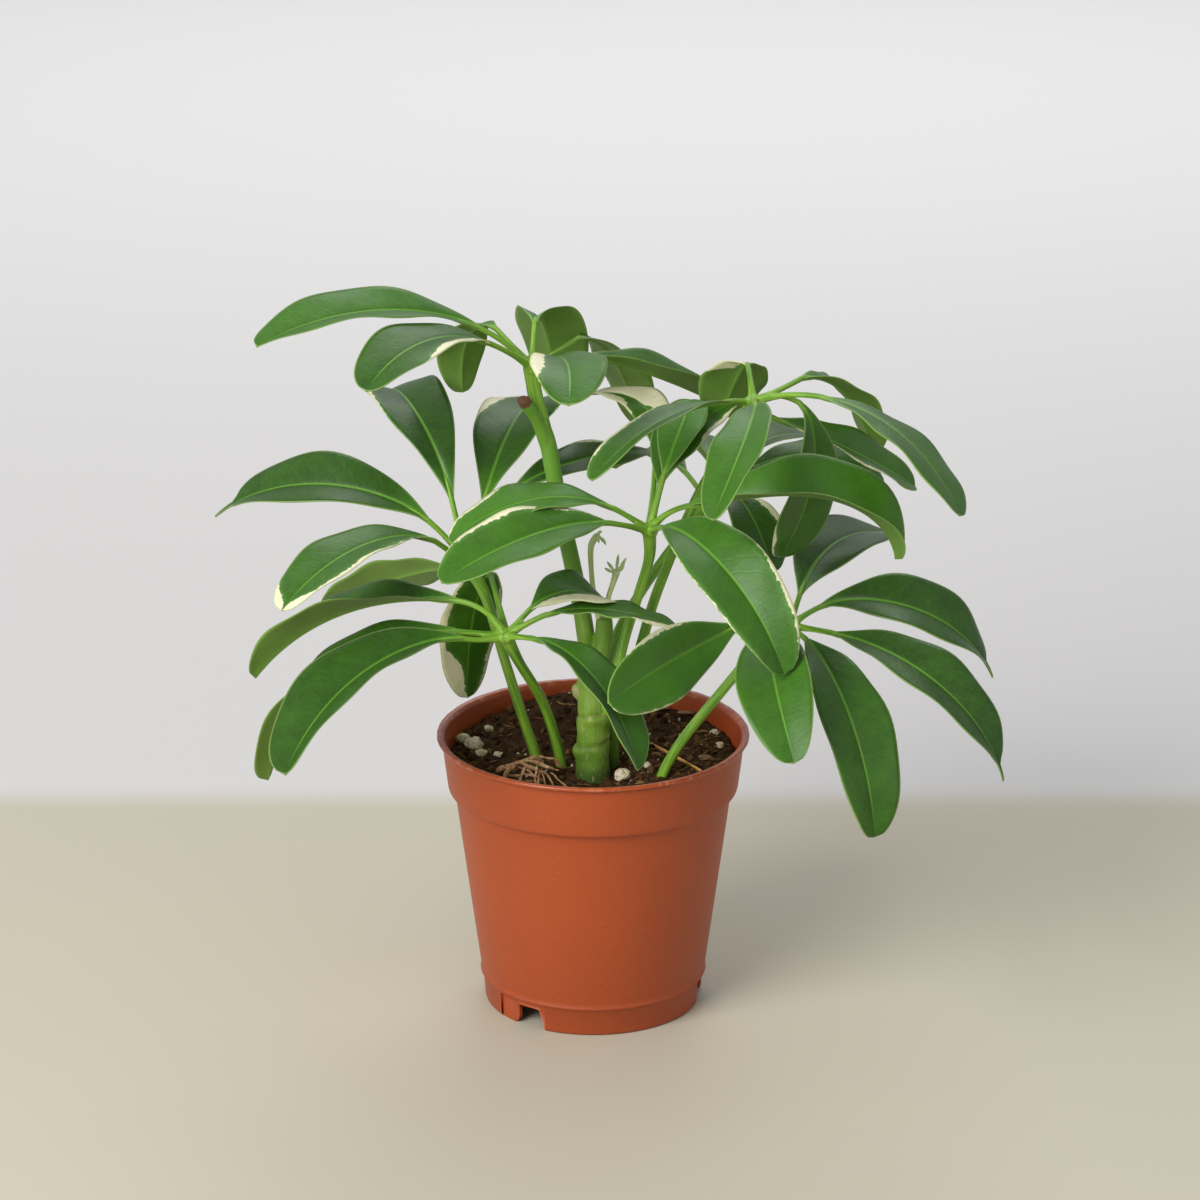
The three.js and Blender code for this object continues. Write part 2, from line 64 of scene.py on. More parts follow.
# %% [markdown]
# ## From points to a piece
# Every shape is worked out as two lists, points and faces, in millimetres. One function turns them into
# a Blender object, stores numbers that the finishes read, and hides the solid nodes that it stands for.
# Helper objects serve only to work a shape out, and are removed again.

# %% Objects and the shapes in them
def add_object(name, data):
    thing = bpy.data.objects.new(name, data)
    bpy.context.collection.objects.link(thing)
    return thing


def helper_object(shape):
    mesh = bpy.data.meshes.new("helper")
    mesh.from_pydata(shape[0], [], shape[1])
    return add_object("helper", mesh)


def finished_shape(helper):
    """The points and faces of a helper object after its modifiers."""
    depsgraph = bpy.context.evaluated_depsgraph_get()
    mesh = bpy.data.meshes.new_from_object(helper.evaluated_get(depsgraph))
    points = np.empty(3 * len(mesh.vertices))
    mesh.vertices.foreach_get("co", points)
    shape = points.reshape(-1, 3), [tuple(polygon.vertices) for polygon in mesh.polygons]
    bpy.data.meshes.remove(mesh)
    return shape


def remove_helpers(helpers):
    for helper in helpers:
        bpy.data.meshes.remove(helper.data)


# %% Points and faces become a piece
def make_piece(name, shape, finishes, nodes, finish_of_face=None, fields=None, streak=None):
    """fields are numbers for each point, and streak holds places that run along each stem."""
    points, faces = shape
    mesh = bpy.data.meshes.new(name)
    mesh.from_pydata((np.asarray(points) + POT_AXIS) * MM, [], [tuple(face) for face in faces])
    for finish in finishes:
        mesh.materials.append(finish.material)
    if finish_of_face is not None:
        mesh.polygons.foreach_set("material_index", np.asarray(finish_of_face, dtype=np.int32))
    for label, values in (fields or {}).items():
        layer = mesh.attributes.new(label, "FLOAT", "POINT")
        layer.data.foreach_set("value", np.asarray(values, dtype=np.float32))
    mesh.shade_smooth()
    mesh.validate()
    if streak is not None:
        layer = mesh.attributes.new("streak", "FLOAT_VECTOR", "POINT")
        layer.data.foreach_set("vector", np.asarray(streak).ravel())
    piece = add_object(name, mesh)
    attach(piece, "root")
    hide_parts(*nodes)
    print(f"{name}: {len(mesh.polygons)} faces")


def gather(shapes):
    """Several shapes as one."""
    points, faces, start = [], [], 0
    for some_points, some_faces in shapes:
        points.append(np.asarray(some_points))
        faces += [tuple(index + start for index in face) for face in some_faces]
        start += len(some_points)
    return np.concatenate(points), faces


def skin_over(rings, ends):
    """A closed skin over rings with equally many points, with one more point at each end."""
    rings = np.asarray(rings, dtype=float)
    count, sides = rings.shape[:2]
    faces = []
    for start in range(0, (count - 1) * sides, sides):
        for i in range(sides):
            a, b = start + i, start + (i + 1) % sides
            faces.append((a, b, b + sides, a + sides))
    last = (count - 1) * sides
    for i in range(sides):
        following = (i + 1) % sides
        faces.append((following, i, count * sides))
        faces.append((last + i, last + following, count * sides + 1))
    return np.vstack([rings.reshape(-1, 3), ends]), faces


# %% [markdown]
# ## Curves, tubes and lumps
# Stems are tubes along smooth curves, thicker at the joints. The curve is a centripetal Catmull-Rom
# spline, which passes through every given point without loops.

# %% A smooth curve through points
CURVE_STEPS = 12


def between(t, early, late, first, second):
    """The straight line that is at first when t is early and at second when t is late."""
    return (late - t) / (late - early) * first + (t - early) / (late - early) * second


def smooth_curve(points, count):
    points = np.asarray(points, dtype=float)
    points = np.vstack([2 * points[0] - points[1], points, 2 * points[-1] - points[-2]])
    knots = np.concatenate([[0], np.cumsum(np.linalg.norm(np.diff(points, axis=0), axis=1) ** 0.5)])
    fine = []
    for i in range(1, len(points) - 2):
        t0, t1, t2, t3 = knots[i - 1:i + 3]
        p0, p1, p2, p3 = points[i - 1:i + 3]
        for t in np.linspace(t1, t2, CURVE_STEPS, endpoint=False):
            a1 = between(t, t0, t1, p0, p1)
            a2 = between(t, t1, t2, p1, p2)
            a3 = between(t, t2, t3, p2, p3)
            b1 = between(t, t0, t2, a1, a2)
            b2 = between(t, t1, t3, a2, a3)
            fine.append(between(t, t1, t2, b1, b2))
    fine = np.array(fine + [points[-2]])
    reached = np.concatenate([[0], np.cumsum(np.linalg.norm(np.diff(fine, axis=0), axis=1))])
    wanted = np.linspace(0, reached[-1], count)
    return np.column_stack([np.interp(wanted, reached, fine[:, axis]) for axis in range(3)])


# %% A tube whose radius changes along its way
TUBE_DOME = 0.4  # how far its ends bulge, as a share of the radius
SOME_SIDE = (0.3, 0.9, 0.2)  # a direction in which no stem starts


def tube(points, radii, sides=12, flat=1.0):
    """A closed tube. radii are spread evenly along it, and flat squeezes it in one direction."""
    points = np.asarray(points, dtype=float)
    radii = np.interp(np.linspace(0, 1, len(points)), np.linspace(0, 1, len(radii)), radii)
    ahead = np.gradient(points, axis=0)
    ahead /= np.linalg.norm(ahead, axis=1)[:, None]
    side = np.cross(ahead[0], SOME_SIDE)
    turns = np.linspace(0, 2 * math.pi, sides, endpoint=False)
    rings = []
    for middle, direction, radius in zip(points, ahead, radii):
        side = side - direction * side.dot(direction)
        side /= np.linalg.norm(side)
        up = np.cross(direction, side)
        rings.append(middle + radius * (np.cos(turns)[:, None] * side + flat * np.sin(turns)[:, None] * up))
    domes = TUBE_DOME * radii[:, None] * ahead
    return skin_over(rings, [points[0] - domes[0], points[-1] + domes[-1]])


# %% A lump
def lump(place, radii, detail=2, roughness=0.0, seed=0.0, turn=None):
    """A ball stretched along the axes. roughness pushes its surface in and out by that share."""
    ball = ICO_BALLS[detail]
    points = ball[0].copy()
    if roughness:
        pushes = [noise.noise(Vector(point) * 1.7 + Vector((seed, 0, 0))) for point in points]
        points *= 1 + roughness * np.array(pushes)[:, None]
    points = points * np.asarray(radii)
    if turn is not None:
        points = points @ turn.T
    return points + np.asarray(place, dtype=float), ball[1]


def ico_ball(detail):
    mesh = bmesh.new()
    bmesh.ops.create_icosphere(mesh, subdivisions=detail, radius=1)
    points = np.array([vertex.co[:] for vertex in mesh.verts])
    faces = [tuple(vertex.index for vertex in face.verts) for face in mesh.faces]
    mesh.free()
    return points, faces


ICO_BALLS = {detail: ico_ball(detail) for detail in (1, 2, 3, 4)}

# %% [markdown]
# ## Grown together
# Real stems have no seams where they fork. Overlapping tubes are fused by remeshing them as one skin of
# small squares, which is then relaxed, so that every fork gets its soft web.

# %% Fuse overlapping shapes into one skin
def fuse(shapes, square, relax=4):
    helper = helper_object(gather(shapes))
    remesh = helper.modifiers.new("skin", "REMESH")
    remesh.mode = "VOXEL"
    remesh.voxel_size = square
    smooth = helper.modifiers.new("relax", "SMOOTH")
    smooth.iterations = relax
    skin = finished_shape(helper)
    remove_helpers([helper])
    return skin


# %% [markdown]
# ## A finish as Python expressions
# A material is a graph of nodes. `Value` wraps one socket of that graph and overloads the arithmetic
# signs, so 1 - mask or height * 0.3 adds its own Math node. `Finish` owns the material and adds every
# other kind of node with one method.

# %% Values that flow through a finish
class Value:
    def __init__(self, finish, socket):
        self.finish = finish
        self.socket = socket

    def math(self, operation, *others):
        inputs = {0: self, **{i + 1: other for i, other in enumerate(others)}}
        return self.finish.node("ShaderNodeMath", {"operation": operation}, inputs)

    def __add__(self, other):
        return self.math("ADD", other)

    def __sub__(self, other):
        return self.math("SUBTRACT", other)

    def __mul__(self, other):
        return self.math("MULTIPLY", other)

    def __rsub__(self, other):
        return self.finish.node("ShaderNodeMath", {"operation": "SUBTRACT"}, {0: other, 1: self})

    def __truediv__(self, other):
        return self.math("DIVIDE", other)

    def __abs__(self):
        return self.math("ABSOLUTE")

    __radd__ = __add__
    __rmul__ = __mul__

    def rises(self, low, high):
        """0 below low, 1 above high, smooth between them. low may be the larger of the two."""
        settings = {"interpolation_type": "SMOOTHSTEP", "clamp": True}
        flipped = low > high
        inputs = {"Value": self, "From Min": min(low, high), "From Max": max(low, high),
                  "To Min": 1.0 if flipped else 0.0, "To Max": 0.0 if flipped else 1.0}
        return self.finish.node("ShaderNodeMapRange", settings, inputs)


# %% The finish itself
class Finish:
    def __init__(self, name, **constants):
        self.material = bpy.data.materials.new(name)
        self.material.use_nodes = True
        self.tree = self.material.node_tree
        self.shader = self.tree.nodes["Principled BSDF"]
        for label, value in constants.items():
            self.shader.inputs[label.replace("_", " ").title().replace("Ior", "IOR")].default_value = value

    def feed(self, socket, value):
        if isinstance(value, Value):
            self.tree.links.new(value.socket, socket)
        elif hasattr(value, "__len__") and len(value) == 3 and len(socket.default_value) == 4:
            socket.default_value = (*value, 1)
        else:
            socket.default_value = value

    def node(self, kind, settings=None, inputs=None, output=0):
        node = self.tree.nodes.new(kind)
        for label, value in (settings or {}).items():
            if label == "stops":
                self.set_stops(node.color_ramp, value)
            else:
                setattr(node, label, value)
        for label, value in (inputs or {}).items():
            self.feed(node.inputs[label], value)
        return Value(self, node.outputs[output])

    def set_stops(self, ramp, stops):
        while len(ramp.elements) < len(stops):
            ramp.elements.new(1.0)
        for element, (position, colour) in zip(ramp.elements, stops):
            element.position = position
            element.color = (*colour, 1)

    def vector_math(self, operation, first, second, output="Vector"):
        return self.node("ShaderNodeVectorMath", {"operation": operation}, {0: first, 1: second}, output)

    def place(self, stretch=(1, 1, 1)):
        """The point on the object in millimetres, measured from the pot's axis."""
        here = self.node("ShaderNodeTexCoord", output="Object")
        here = self.vector_math("MULTIPLY", here, (1 / MM, 1 / MM, 1 / MM))
        here = self.vector_math("SUBTRACT", here, tuple(POT_AXIS))
        return self.vector_math("MULTIPLY", here, stretch)

    def distance(self, first, second):
        return self.vector_math("DISTANCE", first, second, "Value")

    def part(self, vector, axis):
        return self.node("ShaderNodeSeparateXYZ", inputs={0: vector}, output=axis)

    def grain(self, size, detail=2.0, stretch=(1, 1, 1), at=None, roughness=0.5):
        """Noise from 0 to 1 whose lumps are about size millimetres wide."""
        inputs = {"Vector": at or self.place(stretch), "Scale": 1 / size, "Detail": detail,
                  "Roughness": roughness}
        return self.node("ShaderNodeTexNoise", inputs=inputs)

    def cells(self, size, at=None):
        return self.node("ShaderNodeTexVoronoi", inputs={"Vector": at or self.place(), "Scale": 1 / size})

    def field(self, label):
        """A number stored on the mesh."""
        return self.node("ShaderNodeAttribute", {"attribute_name": label}, output="Fac")

    def streak_place(self):
        """The stored place that runs along the stem or blade, for fibres that follow it."""
        return self.node("ShaderNodeAttribute", {"attribute_name": "streak"}, output="Vector")

    def mix(self, share, first, second):
        inputs = {0: share, 6: first, 7: second}
        return self.node("ShaderNodeMix", {"data_type": "RGBA"}, inputs, output=2)

    def ramp(self, value, stops):
        return self.node("ShaderNodeValToRGB", {"stops": stops}, {0: value})

    def show(self, colour, roughness=None, coat=None, height=None, depth=1.0):
        """Sets what varies over the surface. height is in units of depth millimetres."""
        self.feed(self.shader.inputs["Base Color"], colour)
        if roughness is not None:
            self.feed(self.shader.inputs["Roughness"], roughness)
        if coat is not None:
            self.feed(self.shader.inputs["Coat Weight"], coat)
        if height is not None:
            inputs = {"Height": height, "Distance": depth * MM, "Strength": 1.0}
            self.feed(self.shader.inputs["Normal"], self.node("ShaderNodeBump", inputs=inputs))
        return self


def shade(colour, share):
    return tuple(channel * share for channel in colour)


# %% [markdown]
# ## The camera
# The photograph was taken with a long lens from about a metre and a half, a little above the rim, so
# that the soil shows. The camera aims at the middle of the plant.

# %% Camera
CAMERA_DISTANCE = 1500
CAMERA_ELEVATION = math.radians(19.25)
CAMERA_LENS = 139.3
CAMERA_SENSOR = 36
AIM = np.array([2.25, 0, 137.8])

camera = add_object("camera", bpy.data.cameras.new("camera"))
away = np.array([0, -math.cos(CAMERA_ELEVATION), math.sin(CAMERA_ELEVATION)])
camera.location = (AIM + CAMERA_DISTANCE * away + POT_AXIS) * MM
camera.rotation_euler = Vector(-away).to_track_quat("-Z", "Y").to_euler()
camera.data.lens = CAMERA_LENS
camera.data.sensor_width = CAMERA_SENSOR
bpy.context.scene.camera = camera
print("camera at", tuple(round(value, 3) for value in camera.location))

# %% [markdown]
# ## The nursery pot
# A thin moulded shell: a rolled lip, a deep collar, a tapered body, a low ridge and a foot ring. The
# foot is broken at three places by a drainage notch with a recessed tab beside it. The shell is one
# profile turned round the axis, and the notches are cut with small slices of a ring. The far end of a
# notch leans outwards by a few degrees, and the tab has a rounded corner at the notch.

# %% Pot profile
POT_TURNS = 240
POT_PROFILE = [
    (0, 8), (20, 8), (31, 8), (33.6, 8), (34, 7.6), (34, 0.3), (34.3, 0), (35.1, 0), (35.6, 0.3), (35.85, 1),
    (36.4, 8.7), (36.75, 9.1), (37.2, 9.5), (37.35, 9.9), (37.2, 10.3), (37.0, 10.9), (37.15, 12),
    (38.9, 25), (40.9, 40), (42.9, 55), (44.3, 65.6), (45.25, 73), (45.45, 73.7), (45.9, 73.95),
    (46.8, 74.0), (47.3, 74.3), (47.5, 75.0), (47.75, 77), (48.5, 83), (49.15, 88.6), (49.3, 89.9),
    (49.5, 90.5), (50.1, 90.75), (50.7, 91.0), (51.0, 91.5), (50.95, 92.0), (50.55, 92.35), (49.9, 92.4),
    (49.2, 92.2), (48.5, 91.6), (48.2, 90.6), (47.6, 86), (46.4, 76), (46.1, 74.6), (45.2, 73.2),
    (44.3, 72.6), (43.95, 71.6), (41, 50), (38, 27), (35.9, 11), (35.5, 9.8), (34.6, 9.3), (20, 9.3),
    (0, 9.3),
]
NOTCH_STARTS = [213, 333, 93]
NOTCH_ANGLE = 14
TAB_CORNER = 3
NOTCH_HEIGHT = 7.4
NOTCH_LEAN = 3  # degrees that the far end of a notch leans out
SLICE_ANGLES = 13
FOOT_RADIUS = 36
LIP_HEIGHT = 92.4
LIP_RADIUS = 51
POT_EDGES = 0.22  # rounding of the cut edges
CUT_MORE = 0.02  # keeps a cutter's slope from ending in a line
CUT_FROM, CUT_TO, CUT_BELOW = 26, 40, -1  # radii and lower end of a cutter through the foot
PLATE_CUT_EDGE, PLATE_CUT_LOW, PLATE_CUT_HIGH = 33.3, 6, 11
TAB_FACE, TAB_TOP, TAB_BACK = 35.3, 8.5, 30


def ring_of_points(radius, height, turns):
    angles = np.linspace(0, 2 * math.pi, turns, endpoint=False)
    return [(radius * math.cos(angle), radius * math.sin(angle), height) for angle in angles]


def turned(profile, turns, nicks):
    """A closed profile turned round the axis. Its first and last points lie on the axis."""
    rings = [[nicks(*point) for point in ring_of_points(*place, turns)] for place in profile[1:-1]]
    return skin_over(rings, [(0, 0, profile[0][1]), (0, 0, profile[-1][1])])


def worn(x, y, z):
    """Small dents along the lip, as on a pot that was stacked in others."""
    if z < LIP_HEIGHT - 2:
        return x, y, z
    where = Vector((x, y, 0)) * 0.35
    dent = 0.12 * noise.noise(where) + 0.1 * min(0, noise.noise(where * 4) + 0.15)
    share = 1 + dent / LIP_RADIUS
    return x * share, y * share, min(z + dent * 0.8, LIP_HEIGHT)


def ring_slice(inner, outer, start, end, bottom, top):
    """A cutter between two radii and two angles. top is a height or a rule from degrees to height."""
    angles = np.linspace(start, end, SLICE_ANGLES)
    points = []
    for angle in angles:
        turn = math.radians(angle)
        height = top(angle) if callable(top) else top
        for radius, level in ((inner, bottom), (outer, bottom), (outer, height), (inner, height)):
            points.append((radius * math.cos(turn), radius * math.sin(turn), level))
    faces = [(0, 1, 2, 3)]
    for i in range(0, 4 * (len(angles) - 1), 4):
        for side in range(4):
            following = (side + 1) % 4
            faces.append((i + side, i + 4 + side, i + 4 + following, i + following))
    end_ring = 4 * (len(angles) - 1)
    faces.append((end_ring + 3, end_ring + 2, end_ring + 1, end_ring))
    return np.array(points), faces


def pot_cutters():
    """For each notch: the notch itself, its part in the base plate, the tab and the tab's corner."""
    cutters = []
    for start in NOTCH_STARTS:
        middle, end = start + NOTCH_ANGLE, start + 2 * NOTCH_ANGLE

        def tab_corner(angle, middle=middle):
            along = math.radians(middle - angle) * FOOT_RADIUS
            inside = max(0.0, TAB_CORNER - along)
            return TAB_CORNER - math.sqrt(max(TAB_CORNER ** 2 - inside ** 2, 0)) + CUT_MORE

        def leaning_end(angle, end=end):
            return NOTCH_HEIGHT * (1 - max(0.0, angle - end) / NOTCH_LEAN) + CUT_MORE

        corner_angle = math.degrees(TAB_CORNER / FOOT_RADIUS)
        tab_end = middle + 0.1
        cutters += [
            ring_slice(CUT_FROM, CUT_TO, middle, end + NOTCH_LEAN, CUT_BELOW, leaning_end),
            ring_slice(CUT_FROM, PLATE_CUT_EDGE, middle, end, PLATE_CUT_LOW, PLATE_CUT_HIGH),
            ring_slice(TAB_FACE, CUT_TO, start, tab_end, CUT_BELOW, TAB_TOP),
            ring_slice(TAB_BACK, CUT_TO, middle - corner_angle, tab_end, CUT_BELOW, tab_corner),
        ]
    return cutters


# %% [markdown]
# Moulded polypropylene: an orange-brown that is even in colour, with a very fine grain that breaks the
# gloss, a duller inside with smears of peat, and a polished, scuffed lip. Painted shade darkens the
# inside and the body towards the foot.

# %% Terracotta plastic
TERRACOTTA = (0.385, 0.064, 0.0115)


def terracotta_finish():
    finish = Finish("terracotta_plastic", specular_ior_level=0.4, coat_roughness=0.22)
    here = finish.place()
    height = finish.part(here, "Z")
    radius = finish.distance(finish.vector_math("MULTIPLY", here, (1, 1, 0)), (0, 0, 0))
    wall = radius - height * 0.1225
    inside = wall.rises(35.4, 34.9) * height.rises(9.0, 12.0)
    lip = height.rises(90.6, 91.6)
    cloud = finish.grain(26, 3)
    speck = finish.grain(0.9, 3, roughness=0.7)
    plain = finish.mix(cloud, shade(TERRACOTTA, 0.93), shade(TERRACOTTA, 1.07))
    scuff = lip * finish.grain(2.2, 3, (1, 1, 0.4)).rises(0.52, 0.66)
    plain = finish.mix(scuff * 0.45, plain, (0.62, 0.26, 0.13))
    plain = finish.mix(speck.rises(0.3, 0.8) * 0.2, plain, shade(TERRACOTTA, 0.68))
    dust = finish.grain(0.8, 2).rises(0.64, 0.74)
    plain = finish.mix(dust * 0.16, plain, (0.62, 0.24, 0.10))
    smear = finish.grain(5, 4, (1, 1, 0.35)).rises(0.5, 0.62) * height.rises(92, 84)
    # Painted shade: the inside is darker than the outside, with real smears of peat on it.
    inner = finish.mix(smear * 0.8, (0.20, 0.045, 0.016), (0.035, 0.016, 0.01))
    # Painted shade: the body grows darker towards the foot.
    plain = finish.mix(height.rises(60, 5) * 0.18, plain, shade(TERRACOTTA, 0.3))
    colour = finish.mix(inside, plain, inner)
    roughness = 0.42 - lip * 0.16 + speck * 0.12 + inside * 0.16
    bumps = finish.grain(0.42, 2, roughness=0.6)
    return finish.show(colour, roughness, 0.1 + lip * 0.15, bumps, 0.09)


# %% Make the pot
def cut_shape(body, cutters, round_edges):
    """Cuts closed shapes out of another with the exact solver, and rounds the sharp edges."""
    target = helper_object(body)
    helpers = [helper_object(shape) for shape in cutters]
    for helper in helpers:
        cut = target.modifiers.new("cut", "BOOLEAN")
        cut.operation = "DIFFERENCE"
        cut.solver = "EXACT"
        cut.object = helper
    bevel = target.modifiers.new("edges", "BEVEL")
    bevel.width = round_edges
    bevel.segments = 2
    bevel.limit_method = "ANGLE"
    bevel.angle_limit = math.radians(50)
    shape = finished_shape(target)
    remove_helpers([target, *helpers])
    return shape


pot_shell = cut_shape(turned(POT_PROFILE, POT_TURNS, worn), pot_cutters(), POT_EDGES)
make_piece("nursery_pot", pot_shell, [terracotta_finish()], ["pot"])

# %% [markdown]
# ## Potting soil
# Peat is fibrous and crumbly, so a smooth surface would look like cloth. The ground is a fine grid whose
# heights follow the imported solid, and hundreds of crumbs of all sizes, bark shreds and grains of
# perlite lie on it, some half sunk. All of it is drawn from one seeded source of random numbers.

# %% The height of the soil
SOIL_LEVEL = 84
SOIL_EDGE = 47.0
SOIL_SLOPE = 0.035
HEAP_PLACE, HEAP_HEIGHT, HEAP_SPREAD = (-8, 36), 5, 260


def soil_height(x, y):
    """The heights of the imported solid: a slope, a heap at the back, and clods."""
    from_heap = (x - HEAP_PLACE[0]) ** 2 + (y - HEAP_PLACE[1]) ** 2
    heap = HEAP_HEIGHT * math.exp(-from_heap / HEAP_SPREAD)
    clods = 0.55 * math.sin(0.42 * x + 1.1) * math.cos(0.37 * y - 0.6) + 0.35 * math.sin(0.9 * x + 0.7 * y)
    return SOIL_LEVEL + heap + SOIL_SLOPE * y + clods


def crumbled(x, y):
    """The same, broken up by three sizes of crumbs."""
    here = Vector((x, y, 3.0))
    rough = 0.8 * noise.noise(here * 0.35) + 0.55 * noise.noise(here * 0.9) + 0.3 * noise.noise(here * 2.3)
    return soil_height(x, y) + rough - 0.2


# %% The ground
SOIL_BOTTOM = 9.9
SOIL_SIDE = [(35.2, SOIL_BOTTOM), (43.6, 72), (45.6, 76)]  # radius and height, from below


def soil_ground(ring_count=64, turns=200):
    rings = [ring_of_points(radius, level, turns) for radius, level in SOIL_SIDE]
    for ring in range(ring_count, 0, -1):
        spots = ring_of_points(SOIL_EDGE * ring / ring_count, 0, turns)
        rings.append([(x, y, crumbled(x, y)) for x, y, _ in spots])
    return skin_over(rings, [(0, 0, SOIL_BOTTOM), (0, 0, crumbled(0, 0))])


# %% A random turn and a random spot, for crumbs that lie everywhere and every way
CRUMB_REACH = 45.5


def any_turn(dice):
    angles = [dice.uniform(0, 2 * math.pi) for _ in range(3)]
    about_x, about_y, about_z = (np.array(Matrix.Rotation(a, 3, axis)) for a, axis in zip(angles, "XYZ"))
    return about_x @ about_y @ about_z


def anywhere(dice):
    angle, radius = dice.uniform(0, 2 * math.pi), CRUMB_REACH * math.sqrt(dice.random())
    return radius * math.cos(angle), radius * math.sin(angle)


# %% Crumbs, shreds and grit, each with a tone: 0 black peat, 0.5 brown, 1 pale
CRUMB_COUNT, SHRED_COUNT, GRIT_COUNT = 1500, 340, 70
CRUMB_SEED = 11


def soil_crumbs():
    dice = random.Random(CRUMB_SEED)
    shapes, tones = [], []
    for i in range(CRUMB_COUNT):
        x, y = anywhere(dice)
        size = 0.3 + 1.2 * dice.random() ** 3
        radii = (size, size * dice.uniform(0.6, 1), size * dice.uniform(0.5, 0.9))
        place = (x, y, crumbled(x, y) + 0.2 * size)
        shapes.append(lump(place, radii, 2 if size > 0.7 else 1, 0.9, i * 1.3, any_turn(dice)))
        tones.append(0.5 * dice.random() ** 1.3)
    for _ in range(SHRED_COUNT):
        x, y = anywhere(dice)
        length, turn = dice.uniform(1.5, 7), dice.uniform(0, 2 * math.pi)
        lean, bow = dice.uniform(-0.25, 0.35), dice.uniform(-0.15, 0.15)
        step = np.array([math.cos(turn), math.sin(turn), lean]) * length / 2
        side = np.array([-math.sin(turn), math.cos(turn), 0]) * length * bow
        middle = np.array([x, y, crumbled(x, y) + 0.25])
        way = smooth_curve([middle - step, middle + side, middle + step], 7)
        radius = dice.uniform(0.1, 0.42)
        radii = [radius * 0.4, radius, radius * 0.9, radius * 0.3]
        shapes.append(tube(way, radii, sides=5, flat=dice.uniform(0.25, 0.7)))
        tones.append(dice.uniform(0.3, 0.8) if radius > 0.16 else dice.uniform(0.5, 0.9))
    for i in range(GRIT_COUNT):
        x, y = anywhere(dice)
        size = dice.uniform(0.22, 0.6)
        place = (x, y, crumbled(x, y) + 0.3 * size)
        shapes.append(lump(place, (size, size, size), 1, 0.8, i * 2.1, any_turn(dice)))
        tones.append(dice.uniform(0.93, 1))
    kept, kept_tones = [], []
    for shape, tone in zip(shapes, tones):
        if np.hypot(shape[0][:, 0], shape[0][:, 1]).max() < SOIL_EDGE - 0.2:
            kept.append(shape)
            kept_tones += [tone] * len(shape[0])
    return gather(kept), kept_tones


# %% [markdown]
# The same finish serves the ground and the crumbs: nearly black where it is damp, warm brown where
# fibres dry out, and off-white where a crumb is a grain of perlite.

# %% Peat
PEAT_STOPS = [(0, (0.026, 0.012, 0.004)), (0.3, (0.095, 0.046, 0.016)), (0.55, (0.25, 0.13, 0.05)),
              (0.85, (0.42, 0.27, 0.12)), (0.95, (0.62, 0.58, 0.45))]


def peat_finish():
    finish = Finish("peat", specular_ior_level=0.15)
    tone = finish.field("tone")
    patches = finish.grain(5, 5, roughness=0.7)
    fine = finish.grain(0.5, 4, roughness=0.75)
    shade = tone + (patches - 0.5) * 0.28 + (fine - 0.5) * 0.34
    colour = finish.ramp(shade, PEAT_STOPS)
    roughness = 0.95 - fine.rises(0.5, 0.75) * 0.25
    return finish.show(colour, roughness, height=fine + patches * 0.6, depth=0.5)


# %% Make the soil
ground = soil_ground()
crumbs, crumb_tones = soil_crumbs()
ground_tones = [0.12 + 0.1 * noise.noise(Vector(p) * 0.5) for p in ground[0]]
make_piece("potting_soil", gather([ground, crumbs]), [peat_finish()], ["soil"],
           fields={"tone": [*ground_tones, *crumb_tones]})

# %% [markdown]
# ## Perlite and chips
# Perlite is popped volcanic glass: off-white, full of pits, light and angular. Each grain is a ball
# pushed in and out by two sizes of noise. The bark chips are flat and split along their length.

# %% Perlite grains
PERLITE = [  # x, y, radius
    (-42.5, 11, 2.6), (-39, 6, 3), (-36.5, 1, 2), (-34.5, 20, 1.6), (-31, -2, 1.4),
    (9.5, -20, 2.8), (17.5, -10.5, 1.4), (40, 19, 1.6), (41.5, 7, 1.5),
]


def carved_ball(detail, carve, radii, x, y, above):
    """A ball whose points are moved by a rule, stretched, and laid on the soil."""
    points, faces = ICO_BALLS[detail]
    carved = np.array([carve(Vector(point)) for point in points]) * radii
    return carved + [x, y, soil_height(x, y) + above], faces


def perlite_grain(x, y, radius, seed):
    def carve(here):
        push = 0.34 * noise.noise(here * 1.3 + Vector((seed, 0, 0))) + 0.12 * noise.noise(here * 4.2)
        pit = min(0, noise.noise(here * 3 + Vector((0, seed, 0))) + 0.12)
        return here * (1 + push + 0.3 * pit)

    return carved_ball(4, carve, (radius, 0.8 * radius, 0.7 * radius), x, y, 0.4 * radius + 0.35)


def perlite_finish():
    finish = Finish("perlite", specular_ior_level=0.4)
    pits = finish.cells(0.9)
    dust = finish.grain(1.6, 4)
    colour = finish.mix(dust.rises(0.38, 0.68), (0.66, 0.60, 0.44), (0.42, 0.33, 0.18))
    # Painted shade: the grains are darker in their pits.
    colour = finish.mix(pits.rises(0.3, 0.1) * 0.4, colour, (0.16, 0.11, 0.06))
    return finish.show(colour, 0.85, height=pits + dust * 0.5, depth=0.35)


perlite_grains = gather([perlite_grain(x, y, radius, 7.0 * i) for i, (x, y, radius) in enumerate(PERLITE)])
make_piece("perlite_grains", perlite_grains, [perlite_finish()],
           [f"perlite_{i + 1}" for i in range(len(PERLITE))])

# %% Bark chips
CHIPS = [(36.5, -3, 4.5, 2.4), (22, 38, 7, 2.2), (31, 33, 6, 2.4)]  # x, y, length, width
CHIP_HEIGHT = 0.9


def bark_chip(x, y, length, width, seed):
    def carve(here):
        push = 0.3 * noise.noise(Vector((here.x * 0.8, here.y * 3, seed)))
        return here.x * (1 + push * 0.5), here.y * (1 + push), here.z * (0.6 + push)

    return carved_ball(3, carve, (length / 2, width / 2, CHIP_HEIGHT), x, y, CHIP_HEIGHT)


